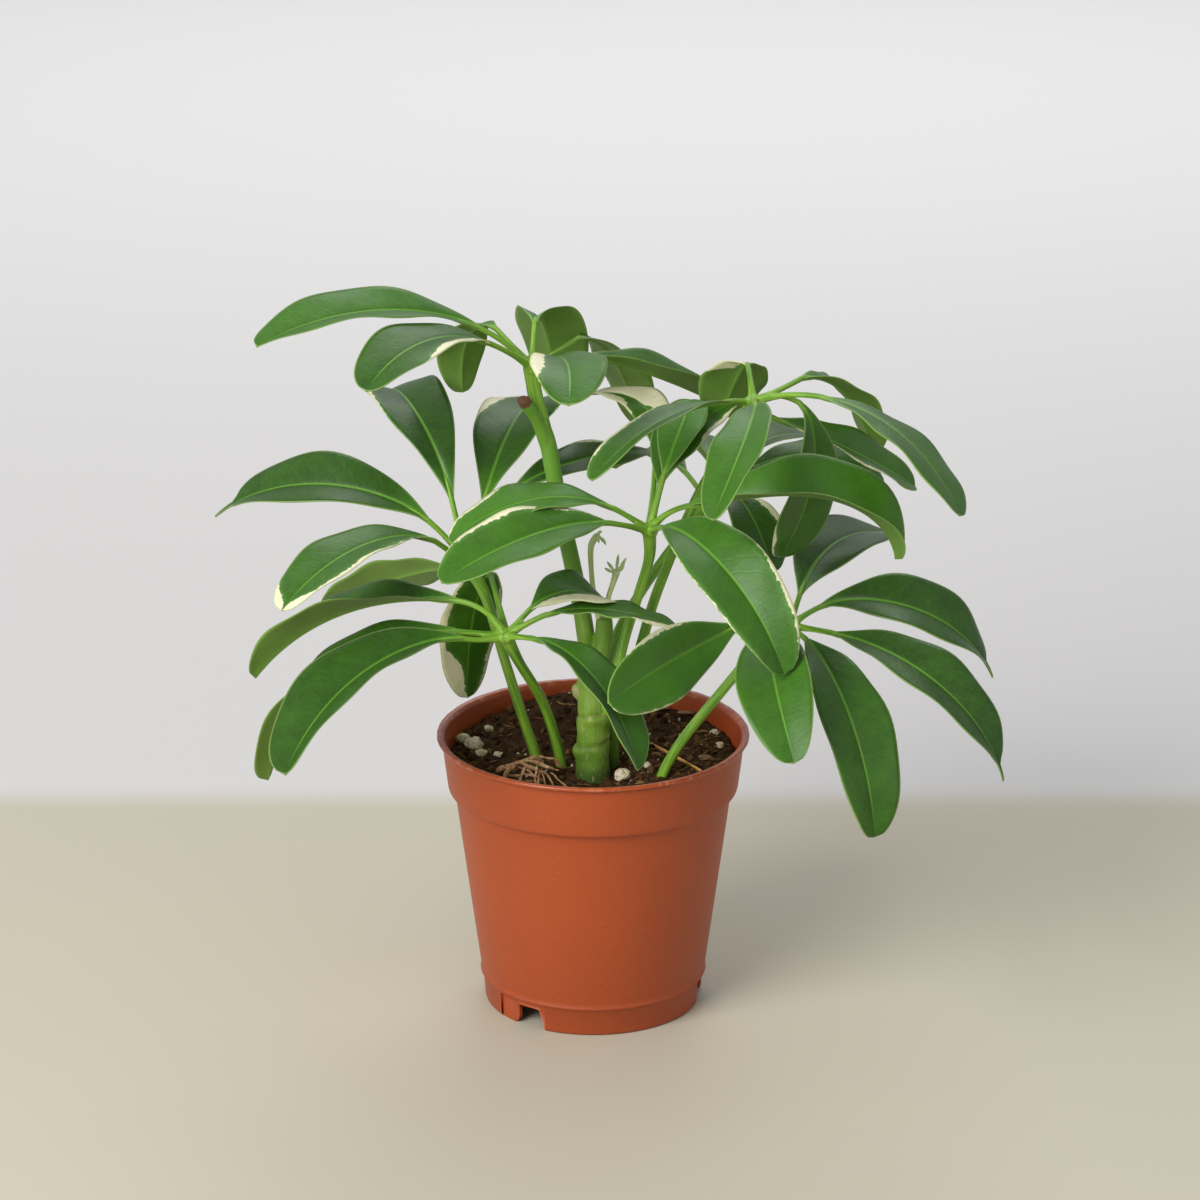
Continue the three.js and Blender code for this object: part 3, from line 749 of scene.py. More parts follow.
def chip_finish():
    finish = Finish("bark_chip", specular_ior_level=0.3)
    streaks = finish.grain(1.1, 4, (0.35, 2.0, 1))
    colour = finish.ramp(streaks, [(0.3, (0.09, 0.045, 0.024)), (0.55, (0.26, 0.15, 0.085)),
                                   (0.8, (0.45, 0.32, 0.2))])
    return finish.show(colour, 0.85, height=streaks, depth=0.4)


bark_chips = gather([bark_chip(*chip, 5.0 * i) for i, chip in enumerate(CHIPS)])
make_piece("bark_chips", bark_chips, [chip_finish()],
           [f"wood_chip_{i + 1}" for i in range(len(CHIPS))])

# %% [markdown]
# ## Straw and the dried leaf
# Beside the trunk lies what is left of an old leaf: thin, curled, brown stalks with a papery tuft. A
# flat piece of yellow straw points to the right.

# %% Straw
STRAW = [(16.5, 12), (25, -1), (35, -16)]
straw_way = smooth_curve([(x, y, soil_height(x, y) + 1.2) for x, y in STRAW], 30)


def straw_finish():
    finish = Finish("straw", specular_ior_level=0.5)
    streaks = finish.grain(0.5, 3, (0.5, 0.25, 1))
    colour = finish.mix(streaks, (0.42, 0.19, 0.035), (0.72, 0.42, 0.11))
    return finish.show(colour, 0.5, height=streaks, depth=0.1)


straw_shape = tube(straw_way, [0.4, 0.75, 0.7, 0.45], sides=10, flat=0.45)
make_piece("straw_stalk", straw_shape, [straw_finish()], ["straw"])

# %% The dried leaf
DRY_STALKS = [  # points (x, y, height above the soil), then the radius
    ([(-31, -17, 0.4), (-30, -19, 3.4), (-25, -20, 5.2), (-20, -20, 4.6), (-16, -21, 2.4)], 0.42),
    ([(-29, -20, 0.4), (-27, -21, 4.6), (-22, -20, 6.6), (-16, -20, 5.0), (-11, -20, 3.2)], 0.34),
    ([(-31, -15, 0.6), (-27, -17, 2.6), (-22, -21, 3.6), (-17, -24, 2.6)], 0.36),
    ([(-27, -19, 0.4), (-25, -22, 2.6), (-20, -24, 3.0), (-15, -25, 1.0)], 0.3),
    ([(-24, -17, 5.0), (-20, -17, 6.2), (-14, -17, 5.6), (-10, -16, 3.4), (-9.5, -15, 1.4)], 0.3),
    ([(-22, -21, 4.6), (-23, -24, 2.4), (-23, -26, 0.4)], 0.26),
    ([(-18, -21, 4.8), (-18.5, -25, 2.6), (-18, -28, 0.4)], 0.26),
    ([(-14, -22, 3.6), (-11, -25, 2.2), (-7, -28, 0.6)], 0.3),
]
DRY_TUFTS = [  # root, tip, width: flat papery shreds
    ((-17, -22, 4.0), (-15, -29, 0.8), 1.5), ((-17, -22, 4.0), (-17.5, -29, 0.8), 1.3),
    ((-17, -22, 4.0), (-12.5, -28, 0.9), 1.3), ((-25, -20, 5.0), (-29, -24, 1.4), 1.4),
    ((-20, -20, 6.0), (-16, -16, 4.0), 1.2),
]


def on_soil(spot):
    x, y, above = spot
    return (x, y, soil_height(x, y) + above)


def wandering(spot):
    """A push that changes slowly from place to place, from one piece of noise for each direction."""
    here = Vector(spot) * 0.33
    return Vector([noise.noise(here + Vector((shift, 0, 0))) for shift in (0, 37, 74)])


def dry_leaf_shapes():
    shapes = []
    for points, radius in DRY_STALKS:
        way = smooth_curve([on_soil(spot) for spot in points], 26)
        wander = [0.8 * wandering(spot) for spot in way]
        radii = [radius, radius * 2.4, radius * 1.1, radius * 2.1, radius * 0.6]
        shapes.append(tube(way + np.array(wander), radii, sides=8, flat=0.4))
    for root, tip, width in DRY_TUFTS:
        root, tip = np.array(on_soil(root)), np.array(on_soil(tip))
        middle = (root + tip) / 2 + [0, 0, 1.2]
        way = smooth_curve([root, middle, tip], 12)
        shapes.append(tube(way, [0.25, width / 2, width / 1.6, width / 2.4], sides=8, flat=0.22))
    return gather(shapes)


def dry_leaf_finish():
    finish = Finish("dry_leaf", specular_ior_level=0.3)
    streaks = finish.grain(1.4, 4)
    colour = finish.ramp(streaks, [(0.3, (0.16, 0.07, 0.03)), (0.5, (0.36, 0.19, 0.09)),
                                   (0.72, (0.58, 0.42, 0.22))])
    return finish.show(colour, 0.8, height=finish.grain(0.4, 3), depth=0.15)


make_piece("dried_leaf", dry_leaf_shapes(), [dry_leaf_finish()], ["dry_leaf"])

# %% [markdown]
# ## The trunk
# The trunk is still green. It has a ring at each old leaf scar, forks into a slimmer main stem, a side
# shoot and a second stem behind, and ends near the top in a pruned stub with a brown callus. A ring is a
# soft swelling with a shallow groove above it, and an old bud shows as a pale patch on a small bump.

# %% Trunk shape
TRUNK_AXIS = (0, -16, 0)
TRUNK_REACH = 7.5
TRUNK_RINGS = [92.5, 103]
RING_TILT = 0.14
RING_WIDTH = 2.8
RING_GROOVE = 2.4  # how far above the swelling the groove runs
STUB_TIP = (-22, -3.8, 206.4)
OLD_BUD = (-5.6, -15.6, 112)
TRUNK_STEMS = [  # points, radii
    ([(0, -16, 64), (0, -16, 78), (0, -16, 95), (0, -15.7, 109), (-0.8, -14, 121)],
     [5.7, 5.6, 5.45, 5.3, 5.3, 3.6]),
    ([(-1, -14, 114), (-2.6, -10.5, 131.5), (-6.3, -5, 150), (-11.2, -2, 172.5), (-12.8, -1, 182.2),
      (-14.6, 0.3, 191.5), (-17, 1.2, 198)], [3.4, 3.0, 2.8, 2.75, 2.7, 2.75, 2.7]),
    ([(-14.6, 0, 190), (-18, -1.6, 199), (-21.8, -3.5, 206)], [2.4, 1.9, 2.1]),
    ([(0, -16, 112), (3, -14, 126), (3.6, -12.5, 136)], [3.4, 2.9, 2.6]),
    ([(6, -8, 70), (5.5, -8.5, 95), (2, -12, 112)], [2.7, 2.6, 2.9]),
]
TRUNK_LUMPS = [  # place, radii: the old bud, the end of the stub, a knot on the side shoot
    ((-5, -15.4, 112), (1.8, 1.8, 2.8)), ((-21.9, -3.7, 206.1), (2.4, 2.3, 1.6)),
    ((4.4, -13.5, 131), (1.4, 1.3, 1.6)),
]


def trunk_shape():
    shapes = [tube(smooth_curve(points, 40), radii, sides=28) for points, radii in TRUNK_STEMS]
    shapes += [lump(place, radii, detail=3) for place, radii in TRUNK_LUMPS]
    points, faces = fuse(shapes, square=0.42, relax=5)
    outward = (points - TRUNK_AXIS)[:, :2]
    distance = np.linalg.norm(outward, axis=1)
    woody = distance < TRUNK_REACH
    outward /= np.maximum(distance, 1)[:, None]
    bumps = np.array([noise.noise(Vector(point) * 0.17) for point in points])
    fade = np.array([noise.noise(Vector(point) * 0.21 + Vector((0, 9, 0))) for point in points])
    swell = 0.8 * bumps
    for height in TRUNK_RINGS:
        above = points[:, 2] - height - RING_TILT * points[:, 0] - 1.5 * bumps
        swell += (0.55 + 0.6 * fade) * np.exp(-(above / RING_WIDTH) ** 2)
        swell -= (0.4 + 0.5 * fade) * np.exp(-((above - RING_GROOVE) / 1.0) ** 2)
    points[woody, :2] += (outward * swell[:, None])[woody]
    return points, faces


# %% [markdown]
# Young bark is a bright yellow-green with fine streaks along the stem, darker and browner at the rings,
# with corky flecks low down. It is darker towards the foot, and painted shade darkens it where it meets
# the soil. The callus at the end of the stub is dry and brown.

# %% Green bark
def bark_finish():
    finish = Finish("green_bark", specular_ior_level=0.45, coat_roughness=0.3)
    here = finish.place()
    height = finish.part(here, "Z")
    sideways = finish.part(here, "X")
    streaks = finish.grain(1.1, 3, (1, 1, 0.09))
    clouds = finish.grain(7, 3)
    low = height.rises(104, 82)
    colour = finish.mix(streaks, (0.075, 0.195, 0.014), (0.20, 0.35, 0.03))
    colour = finish.mix(clouds.rises(0.35, 0.75) * 0.5, colour, (0.27, 0.38, 0.06))
    colour = finish.mix(height.rises(120, 160) * (0.85 - streaks * 0.5), colour, (0.095, 0.28, 0.014))
    # Darker towards the foot.
    colour = finish.mix(low * 0.6, colour, (0.035, 0.10, 0.008))
    # Painted shade where the trunk meets the soil.
    colour = finish.mix(height.rises(89, 84) * 0.6, colour, (0.014, 0.03, 0.006))
    flecks = finish.grain(1.3, 4, (1, 1, 0.5)).rises(0.6, 0.68) * height.rises(128, 104)
    colour = finish.mix(flecks * 0.6, colour, (0.38, 0.34, 0.16))
    wobble = (finish.grain(3, 2) - 0.5) * 1.6
    for ring in TRUNK_RINGS:
        scar = abs(height - sideways * 0.12 - (ring + 2.2) + wobble).rises(0.9, 0.15)
        colour = finish.mix(scar * 0.3 * height.rises(125, 115), colour, (0.11, 0.085, 0.03))
    bud = finish.distance(here, OLD_BUD)
    colour = finish.mix(bud.rises(2.8, 1.6) * 0.7, colour, (0.42, 0.34, 0.16))
    callus = (finish.distance(here, STUB_TIP) + (finish.grain(1.2, 3) - 0.5) * 1.2).rises(3.2, 2.6)
    crust = finish.mix(finish.grain(0.8, 3), (0.06, 0.022, 0.01), (0.24, 0.11, 0.055))
    colour = finish.mix(callus, colour, crust)
    rough = 0.42 + callus * 0.4 + low * 0.12
    return finish.show(colour, rough, height=streaks * 0.6 + finish.grain(0.5, 3) * 0.4, depth=0.22)


make_piece("green_trunk", trunk_shape(), [bark_finish()], ["trunk"])

# %% [markdown]
# ## The leaves
# An umbrella plant's leaf is compound: one long petiole ends in a swollen hub, and six or seven leaflets
# stand round it on stalks of their own. Each leaflet is described as a grower would describe it, with
# the same words and values as in the CAD source, so that the fine leaf lies where the solid lies. Some
# leaves also have a root: a point inside the trunk from which the petiole grows, so that the two join.
# A leaf may have radii of its own for a stouter petiole, and a seed of its own.
#
# A few leaflets differ from the rest of their leaf: some are fresher green, some end in a drawn-out drip
# tip, and one is twisted on its stalk until its upper face shows from in front.

# %% The words for a leaflet, in degrees and millimetres
# aim: compass direction, 0 = +X, 90 = +Y    rise: slope at the start      droop: fall of the slope
# sweep: sideways turn by the tip            stalk, blade, width: sizes     arch: extra slope of the stalk
# early: below 1 it bends near its base      roll, twist: turn about the midrib, and its change
# fold: how steeply the two halves stand up from the midrib
# The tone of each leaf is partly its own green and partly painted light and shade: leaves in shade have a
# deeper green, lit ones a fresher green.
LEAF_TONES = {  # 0 deep green, 1 fresh green
    "leaf_front_left": 0.4, "leaf_rear_left": 0.2, "leaf_centre": 0.75, "leaf_upper_right": 0.6,
    "leaf_crown": 0.42, "leaf_lower_right": 0.15, "leaf_rear": 0.2,
}
FRESH_LEAFLETS = {  # leaf and number of the leaflet, then what is added to the tone of its leaf
    ("leaf_lower_right", 5): 0.6, ("leaf_lower_right", 6): 0.9, ("leaf_rear_left", 2): 0.2,
    ("leaf_upper_right", 4): -0.2, ("leaf_centre", 6): 0.2,
}
DRIP_TIPS = {  # the share of the blade that is drawn out into a narrow tip
    ("leaf_rear_left", 1): 0.12, ("leaf_lower_right", 2): 0.09, ("leaf_lower_right", 3): 0.08,
}
TURNED_OVER = {("leaf_front_left", 7)}
FIRST_SEED = 40  # a leaf without a seed of its own takes this plus its place in the list
LEAFLET_WORDS = ("aim", "rise", "droop", "sweep", "stalk", "blade", "arch", "early", "width", "roll",
                 "twist", "fold")
LEAVES = {
    "leaf_front_left": {
        "petiole": [(-10, -9, 70), (-10, -9, 82), (-15.5, -16, 107), (-24, -29, 128), (-27.5, -34, 137.5)],
        "leaflets": [
            (204, 17, 52, 45, 15, 84, -23, 0.5, 28, -22, 41, 30),
            (186, 6, 87, 3, 15, 86, 4, 1, 28, -18, 56, 24),
            (164, 1, 55, 17, 20, 76, 64, 1.2, 25, -17, 53, 33),
            (12, 44, 96, 20, 12, 31, 6, 0.9, 27, 11, -10, 13),
            (350, 27, 48, 0, 15, 44, 10, 0.6, 18, 5, -15, 10),
            (310, 10, 80, 0, 14, 64, 5, 1, 22, 0, -25, 20),
            (101, 12, 105, 28, 31, 62, 17, 0.4, 22, 0, 5, 12),
        ],
    },
    "leaf_rear_left": {
        "petiole": [(-17, -7, 70), (-18, -7, 83.5), (-23, -9, 101.5), (-28.5, -10, 121), (-35.5, -12, 146),
                    (-40.5, -12, 154)],
        "leaflets": [
            (175, 40, 80, -25, 19, 80, 20, 0.8, 25, -30, 10, 20),
            (217, 38, 65, 20, 16, 70, 5, 0.5, 22, -10, 10, 15),
            (116, -17, 13, 41, 13, 68, -8, 0.8, 23, 42, -18, 11),
            (125, 65, 105, -25, 22, 77, 5, 1, 26, -10, 10, 20),
            (70, 50, 75, 5, 23, 73, -10, 1, 28, 0, -10, 15),
            (40, 25, 40, 15, 29, 68, 45, 0.5, 20, 15, -10, 10),
        ],
    },
    "leaf_centre": {
        "root": (1, -16.5, 98),
        "petiole": [(3.5, -18.5, 106), (7, -19, 118), (10.5, -16, 131.5), (14.5, -13, 144), (18, -13, 157),
                    (18, -14, 166)],
        "leaflets": [
            (223, 18, 44, -15, 19, 66, 5, 0.8, 25, -26, 14, 17),
            (199, 31, 71, -4, 15, 58, 10, 0.9, 23, -12, 11, 11),
            (75, 41, 35, -44, 17, 45, 0, 1, 22, 0, 0, 15),
            (85, 44, 60, 65, 32, 48, -20, 0.8, 18, 0, 0, 15),
            (60, 60, 60, 25, 18, 38, 0, 0.8, 16, 0, 0, 15),
            (334, 16, 99, 37, 18, 78, 41, 2.4, 29, 15, 0, 39),
            (290, 20, 90, 35, 12, 80, 5, 1, 26, 20, 10, 25),
        ],
    },
    "leaf_upper_right": {
        "root": (4.8, -9.3, 96),
        "petiole": [(8, -9, 104), (13.5, -5, 117), (20.5, 0, 140), (34.5, 3, 174), (42.5, 3, 187.5),
                    (51, 2, 204)],
        "leaflets": [
            (220, 10, 45, 5, 9, 64, 5, 1, 20, 10, 5, 15),
            (270, 15, 60, -30, 19, 66, 0, 0.8, 20, 15, 0, 20),
            (351, -33, 90, -24, 16, 57, 68, 0.4, 22, 29, 0, 12),
            (330, 0, 40, -35, 25, 68, 25, 0.8, 22, 0, -30, 5),
            (45, 10, 75, 15, 23, 56, -5, 0.5, 21, 0, 20, 20),
            (95, 14, 83, 32, 17, 37, 28, 0.4, 23, 6, 14, 11),
            (25, -25, 10, 10, 10, 64, -30, 1, 20, 15, 25, 20),
        ],
    },
    "leaf_crown": {
        "radii": [1.6, 2.4, 2.7, 2.7, 2.5, 2.4, 2.9],
        "root": (-13, -0.6, 184),
        "petiole": [(-15.6, 2, 194), (-17.4, 3, 201), (-19, 3.8, 209), (-19.5, 4, 215)],
        "leaflets": [
            (200, 30, 50, 10, 23, 78, 20, 0.8, 25, -20, 20, 20),
            (225, 27, 57, 15, 22, 63, 10, 1, 25, -10, 5, 15),
            (127, 22, 125, -10, 21, 40, 2, 0.7, 18, 0, 3, 14),
            (84, 50, 138, -20, 15, 47, 6, 0.4, 27, -7, 6, 32),
            (290, 25, 50, -25, 18, 52, -5, 1, 25, 0, 0, 15),
            (42, -14, 17, -3, 23, 68, 23, 0.5, 22, 1, 16, 36),
            (60, 5, 75, 0, 29, 61, -1, 0.5, 24, 11, -2, 11),
        ],
    },
    "leaf_lower_right": {
        "seed": 79,
        "petiole": [(20, -16, 70), (22, -16, 82), (27, -16, 92.5), (38.5, -16, 108.5), (58, -16, 132),
                    (63, -16, 134.5)],
        "leaflets": [
            (75, 20, 40, -25, 16, 72, 5, 1, 27, 15, -10, 15),
            (340, 30, 95, 45, 13, 69, 15, 0.8, 25, 30, -5, 20),
            (314, 5, 80, 35, 19, 80, 5, 1.2, 24, 15, -5, 20),
            (285, 5, 90, 15, 17, 81, 0, 1, 25, -5, 5, 20),
            (257, 18, 73, 35, 22, 68, -15, 1, 25, 10, 15, 20),
            (225, -5, 0, 15, 25, 69, 40, 1, 24, -70, 0, 15),
        ],
    },
    "leaf_rear": {
        "root": (2, -12, 106),
        "petiole": [(3, -9, 112), (8, 4, 125), (22, 24, 142), (38, 38, 158)],
        "leaflets": [
            (10, 35, 75, -10, 16, 50, 10, 0.8, 20, 10, 0, 15),
            (298, 20, 85, 11, 18, 33, 15, 0.4, 25, -3, -17, 11),
            (50, 30, 75, 0, 18, 62, 10, 0.8, 22, 0, 0, 15),
            (85, 25, 80, 0, 18, 62, 10, 0.8, 22, 0, 0, 15),
            (120, 20, 60, 0, 16, 50, 10, 0.8, 20, 0, 0, 15),
        ],
    },
}

# %% [markdown]
# ### Cream margins
# The plant is variegated: here and there the cells along a margin lack green. Each patch below names
# the side of the midrib as seen from the hub, the stretch of the blade and the share of the half blade
# that it reaches in. The ragged border comes from the finish.

# %% Where the blades are cream: side, from, to, depth
LEFT, RIGHT = 1, -1
CREAM = {
    ("leaf_front_left", 4): [(RIGHT, -0.2, 0.95, 0.6)],
    ("leaf_front_left", 5): [(RIGHT, 0.65, 1.1, 0.4)],
    ("leaf_front_left", 7): [(LEFT, 0.05, 1.3, 0.16), (RIGHT, 0.1, 1.3, 0.22), (RIGHT, 0.62, 1.3, 0.8)],
    ("leaf_rear_left", 2): [(LEFT, 0.1, 1.2, 0.14), (RIGHT, 0.85, 1.3, 0.9), (LEFT, 0.82, 1.3, 0.9)],
    ("leaf_rear_left", 4): [(LEFT, 0.4, 0.9, 0.08)],
    ("leaf_rear_left", 5): [(LEFT, 0.4, 1.3, 0.34), (RIGHT, 0.5, 1.3, 0.2)],
    ("leaf_rear_left", 6): [(LEFT, 0.45, 1.3, 0.2)],
    ("leaf_centre", 1): [(RIGHT, -0.1, 0.95, 0.15)],
    ("leaf_centre", 2): [(RIGHT, 0.5, 1.2, 0.18)],
    ("leaf_centre", 3): [(RIGHT, 0.3, 1.05, 0.2)],
    ("leaf_centre", 4): [(RIGHT, 0.15, 1.3, 1.0), (LEFT, 0.3, 1.3, 0.45)],
    ("leaf_centre", 7): [(LEFT, 0.5, 1.0, 0.1), (RIGHT, 0.3, 0.9, 0.03)],
    ("leaf_upper_right", 1): [(RIGHT, 0.3, 1.0, 0.13)],
    ("leaf_upper_right", 3): [(RIGHT, 0.75, 1.05, 0.15)],
    ("leaf_upper_right", 6): [(LEFT, 0.0, 0.45, 0.7)],
    ("leaf_upper_right", 7): [(RIGHT, 0.1, 0.8, 0.12)],
    ("leaf_crown", 2): [(LEFT, 0.0, 0.75, 0.3)],
    ("leaf_crown", 5): [(RIGHT, 0.05, 0.85, 0.38)],
    ("leaf_lower_right", 6): [(RIGHT, 0.3, 0.8, 0.12), (LEFT, 0.5, 1.0, 0.04)],
    ("leaf_rear", 2): [(LEFT, 0.1, 0.6, 0.3)],
    ("leaf_rear", 4): [(RIGHT, 0.2, 0.9, 0.25)],
}

# %% [markdown]
# ### One blade
# A blade is leathery, about half a millimetre thick. Its midrib sinks into the upper face and stands
# out below, its halves arch down towards the margin, and the margin waves a little. Both faces are
# grids with narrow squares near the midrib, joined along the margin. A smooth arch bulges past the flat
# facets of the solid, so a fine blade is a little shorter, and the whole stays inside the CAD box.

# %% Directions along a midrib
FINE_LENGTH = 0.994


def pointing(heading, slope):
    """Unit vectors from a compass heading and a slope, in degrees."""
    heading, slope = np.radians(heading), np.radians(slope)
    level = np.cos(slope)
    return np.stack([level * np.cos(heading), level * np.sin(heading), np.sin(slope)], axis=-1)


def midrib_directions(leaflet, along):
    slope = leaflet["rise"] - leaflet["droop"] * along ** leaflet["early"]
    heading = leaflet["aim"] + leaflet["sweep"] * along
    turn = np.radians(leaflet["roll"] + leaflet["twist"] * along)[:, None]
    ahead = pointing(heading, slope)
    up = pointing(heading, slope + 90)
    side = np.cross(up, ahead)
    return ahead, side * np.cos(turn) + up * np.sin(turn), up * np.cos(turn) - side * np.sin(turn)


def midrib_way(leaflet, base, along):
    ahead, _, _ = midrib_directions(leaflet, (along[1:] + along[:-1]) / 2)
    steps = ahead * (np.diff(along) * leaflet["blade"] * FINE_LENGTH)[:, None]
    return base + np.vstack([[0, 0, 0], np.cumsum(steps, axis=0)])


# %% Outline and cross-section
EDGE_CURL = 8
TAIL_WIDTH = 0.22


def half_width(leaflet, along):
    """Widest past the middle. A drip tip ends the outline early and leaves a narrow tail."""
    shown = np.clip(along / (1 - leaflet["drip"]), 0, 1)
    outline = np.sin(np.pi * shown ** 1.32).clip(0) ** (0.86 - 0.42 * shown)
    if leaflet["drip"]:
        outline = np.maximum(outline, TAIL_WIDTH * (1 - along).clip(0) ** 0.4 * (along > 0.5))
    foot = 0.06 * (1 - along) + 0.012
    return (foot + 0.94 * outline) * leaflet["width"] / 2


def cross_section(leaflet, across):
    """How far out and how far up a point lies, for a half width of 1."""
    reach = np.abs(across)
    steps = (np.arange(8) + 0.5) / 8
    slopes = np.radians(leaflet["fold"] - EDGE_CURL * steps[None, :] * reach[:, None])
    return np.cos(slopes).mean(axis=1) * across, np.sin(slopes).mean(axis=1) * reach


# %% How deep a point lies in a cream patch
NO_CREAM = -6.0


def cream_depth(patches, along, across, half):
    """Millimetres inside a cream patch, negative outside all of them."""
    deepest = np.full(np.broadcast(along, across).shape, NO_CREAM)
    for side, start, end, depth in patches:
        run = 0.35 * (end - start)
        taper = np.clip(np.minimum(along - start, end - along) / run, 0, 1)
        taper = taper * taper * (3 - 2 * taper)
        inside = depth * taper * half - (1 - np.abs(across)) * half - 2 * (taper <= 0)
        deepest = np.maximum(deepest, np.where(across * side > 0.02, inside, NO_CREAM))
    return deepest


# %% The blade's grid
BLADE_ROWS = 44
HALF_COLUMNS = 10
BLADE_THICKNESS = 0.5
WAVE_HEIGHT = 0.55
GROOVE_DEPTH = 0.3
RIB_HEIGHT = 0.75


def blade_shape(leaflet, base, patches, tone, turned_over, dice):
    spread = np.linspace(0, 1, BLADE_ROWS + 1)
    along = 0.45 * spread + 0.55 * (1 - np.cos(np.pi * spread)) / 2
    reach = np.linspace(-1, 1, 2 * HALF_COLUMNS + 1)
    across = np.sign(reach) * np.abs(reach) ** 1.5
    middle = midrib_way(leaflet, base, along)
    _, side, up = midrib_directions(leaflet, along)
    half = half_width(leaflet, along)
    out, lift = cross_section(leaflet, across)
    if turned_over:
        side, up, lift = -side, -up, -lift
    rows, columns = len(along), len(across)
    grid_along, grid_across = np.meshgrid(along, across, indexing="ij")
    distance = np.abs(out)[None, :] * half[:, None]
    wave_count, phase = dice.uniform(2, 3.4), dice.uniform(0, 6)
    waves = np.sin(2 * np.pi * wave_count * grid_along + phase + grid_across)
    waves *= WAVE_HEIGHT * np.abs(grid_across) ** 2.5 * np.minimum(1, half[:, None] / 8)
    fade = 1 - 0.8 * grid_along
    groove = GROOVE_DEPTH * fade * np.exp(-(distance / 0.75) ** 2)
    ridge = RIB_HEIGHT * fade * np.exp(-(distance / 0.85) ** 2)
    thickness = BLADE_THICKNESS * (1 - 0.45 * np.abs(grid_across) ** 3)
    sideways = side[:, None, :] * (out[None, :] * half[:, None])[:, :, None]
    raised = lift[None, :] * half[:, None] + waves
    heights = [raised + thickness / 2 - groove, raised - thickness / 2 - ridge]
    sheets = [middle[:, None, :] + sideways + up[:, None, :] * height[:, :, None] for height in heights]
    points = np.concatenate([sheet.reshape(-1, 3) for sheet in sheets])
    count = rows * columns
    faces = []
    for row in range(rows - 1):
        for column in range(columns - 1):
            a = row * columns + column
            faces.append((a, a + columns, a + columns + 1, a + 1))
            faces.append((a + count, a + count + 1, a + count + columns + 1, a + count + columns))
    rim = [*range(columns - 1), *(row * columns + columns - 1 for row in range(rows - 1)),
           *((rows - 1) * columns + column for column in range(columns - 1, 0, -1)),
           *(row * columns for row in range(rows - 1, 0, -1))]
    for here, following in zip(rim, rim[1:] + rim[:1]):
        faces.append((here, following, following + count, here + count))
    margin = np.minimum((1 - np.abs(grid_across)) * half[:, None], (1 - grid_along) * leaflet["blade"])
    cream = cream_depth(patches, grid_along, grid_across, half[:, None])
    numbers = {"along": grid_along, "across": grid_across, "margin": margin, "rib": distance, "cream": cream}
    fields = {label: np.tile(values.ravel(), 2) for label, values in numbers.items()}
    fields["underside"] = np.repeat([0.0, 1.0], count)
    fields["tone"] = np.full(2 * count, tone + dice.uniform(-0.25, 0.25))
    beside = 0.3 * np.tile((grid_across * half[:, None]).ravel(), 2)
    way = [fields["along"] * leaflet["blade"], beside, np.full(2 * count, dice.uniform(0, 200))]
    return (points, faces), fields, np.column_stack(way)


# %% [markdown]
# ### Petiole, hub and stalks
# The petiole thins upwards and flares into the hub. Every stalk has a soft swelling at both ends, where
# it can bend towards the light. They are fused into one skin. Each point of the skin then stores its
# offset from the middle of its stem, which changes quickly round the stem and hardly along it, so that
# the noise of the finish becomes clean streaks.

# %% The stems of one leaf
PETIOLE_RADII = [2.05, 1.85, 1.75, 1.7, 1.65, 1.7, 2.3]
STALK_RADII = [1.75, 1.35, 1.05, 0.95, 0.95, 1.0, 0.95, 0.55]
HUB_RADII = (2.9, 2.9, 2.3)
BLADE_HOLD = 0.12  # the share of the midrib that the stalk runs along
LEAF_SQUARE = 0.4
STALK_STEPS = 12
HUB_BEYOND = 99  # stands for far from any hub


def climbing_way(start, heading, slopes, length):
    """Points from start in one heading, with equal steps at each slope in turn."""
    steps = pointing(heading, slopes) * length / len(slopes)
    return start + np.vstack([[0, 0, 0], np.cumsum(steps, axis=0)])


def stalk_way(leaflet, hub):
    left = 1 - (np.arange(STALK_STEPS) + 0.5) / STALK_STEPS
    return climbing_way(hub, leaflet["aim"], leaflet["rise"] + leaflet["arch"] * left, leaflet["stalk"])


def streak_places(points, ways, hub):
    """Coordinates that change slowly along a stem and quickly round it, and the distance to the hub."""
    spots = np.concatenate(ways)
    steps = [np.linalg.norm(np.diff(way, axis=0, prepend=way[:1]), axis=1) for way in ways]
    reaches = np.concatenate([np.cumsum(step) for step in steps])
    offsets = np.concatenate([np.full(len(way), 9.0 * i) for i, way in enumerate(ways)])
    nearest = np.array([np.argmin(((spots - point) ** 2).sum(axis=1)) for point in points])
    ahead = np.concatenate([np.gradient(way, axis=0) for way in ways])[nearest]
    ahead /= np.linalg.norm(ahead, axis=1)[:, None]
    outward = points - spots[nearest]
    outward -= (outward * ahead).sum(axis=1)[:, None] * ahead
    slow = 0.58 * (0.05 * reaches[nearest] + offsets[nearest])
    return outward + slow[:, None], np.linalg.norm(points - np.asarray(hub), axis=1)


def leaf_stems(petiole, radii, leaflets):
    """One skin for all the stems of a leaf, with its streak places and distances to the hub."""
    hub = petiole[-1]
    ways = [smooth_curve(petiole, 46)]
    shapes = [tube(ways[0], radii, sides=16), lump(hub, HUB_RADII, detail=3)]
    for leaflet in leaflets:
        stalk = stalk_way(leaflet, hub)
        along = np.linspace(0, BLADE_HOLD, 6)
        under = midrib_way(leaflet, stalk[-1], along)
        _, _, up = midrib_directions(leaflet, along)
        under = under - up * np.linspace(0.15, 0.5, 6)[:, None]
        ways.append(np.vstack([stalk, under[1:]]))
        shapes.append(tube(ways[-1], STALK_RADII))
    skin = fuse(shapes, LEAF_SQUARE)
    return skin, *streak_places(skin[0], ways, hub)


# %% [markdown]
# ### The green of the leaves
# The upper face is waxy: deep green with fine mottling, a light midrib that fades towards the tip, faint
# side veins and a hair-thin pale margin. The lower face is a duller olive. The cream patches have a
# ragged border that follows the veins, with a paler green beside it.

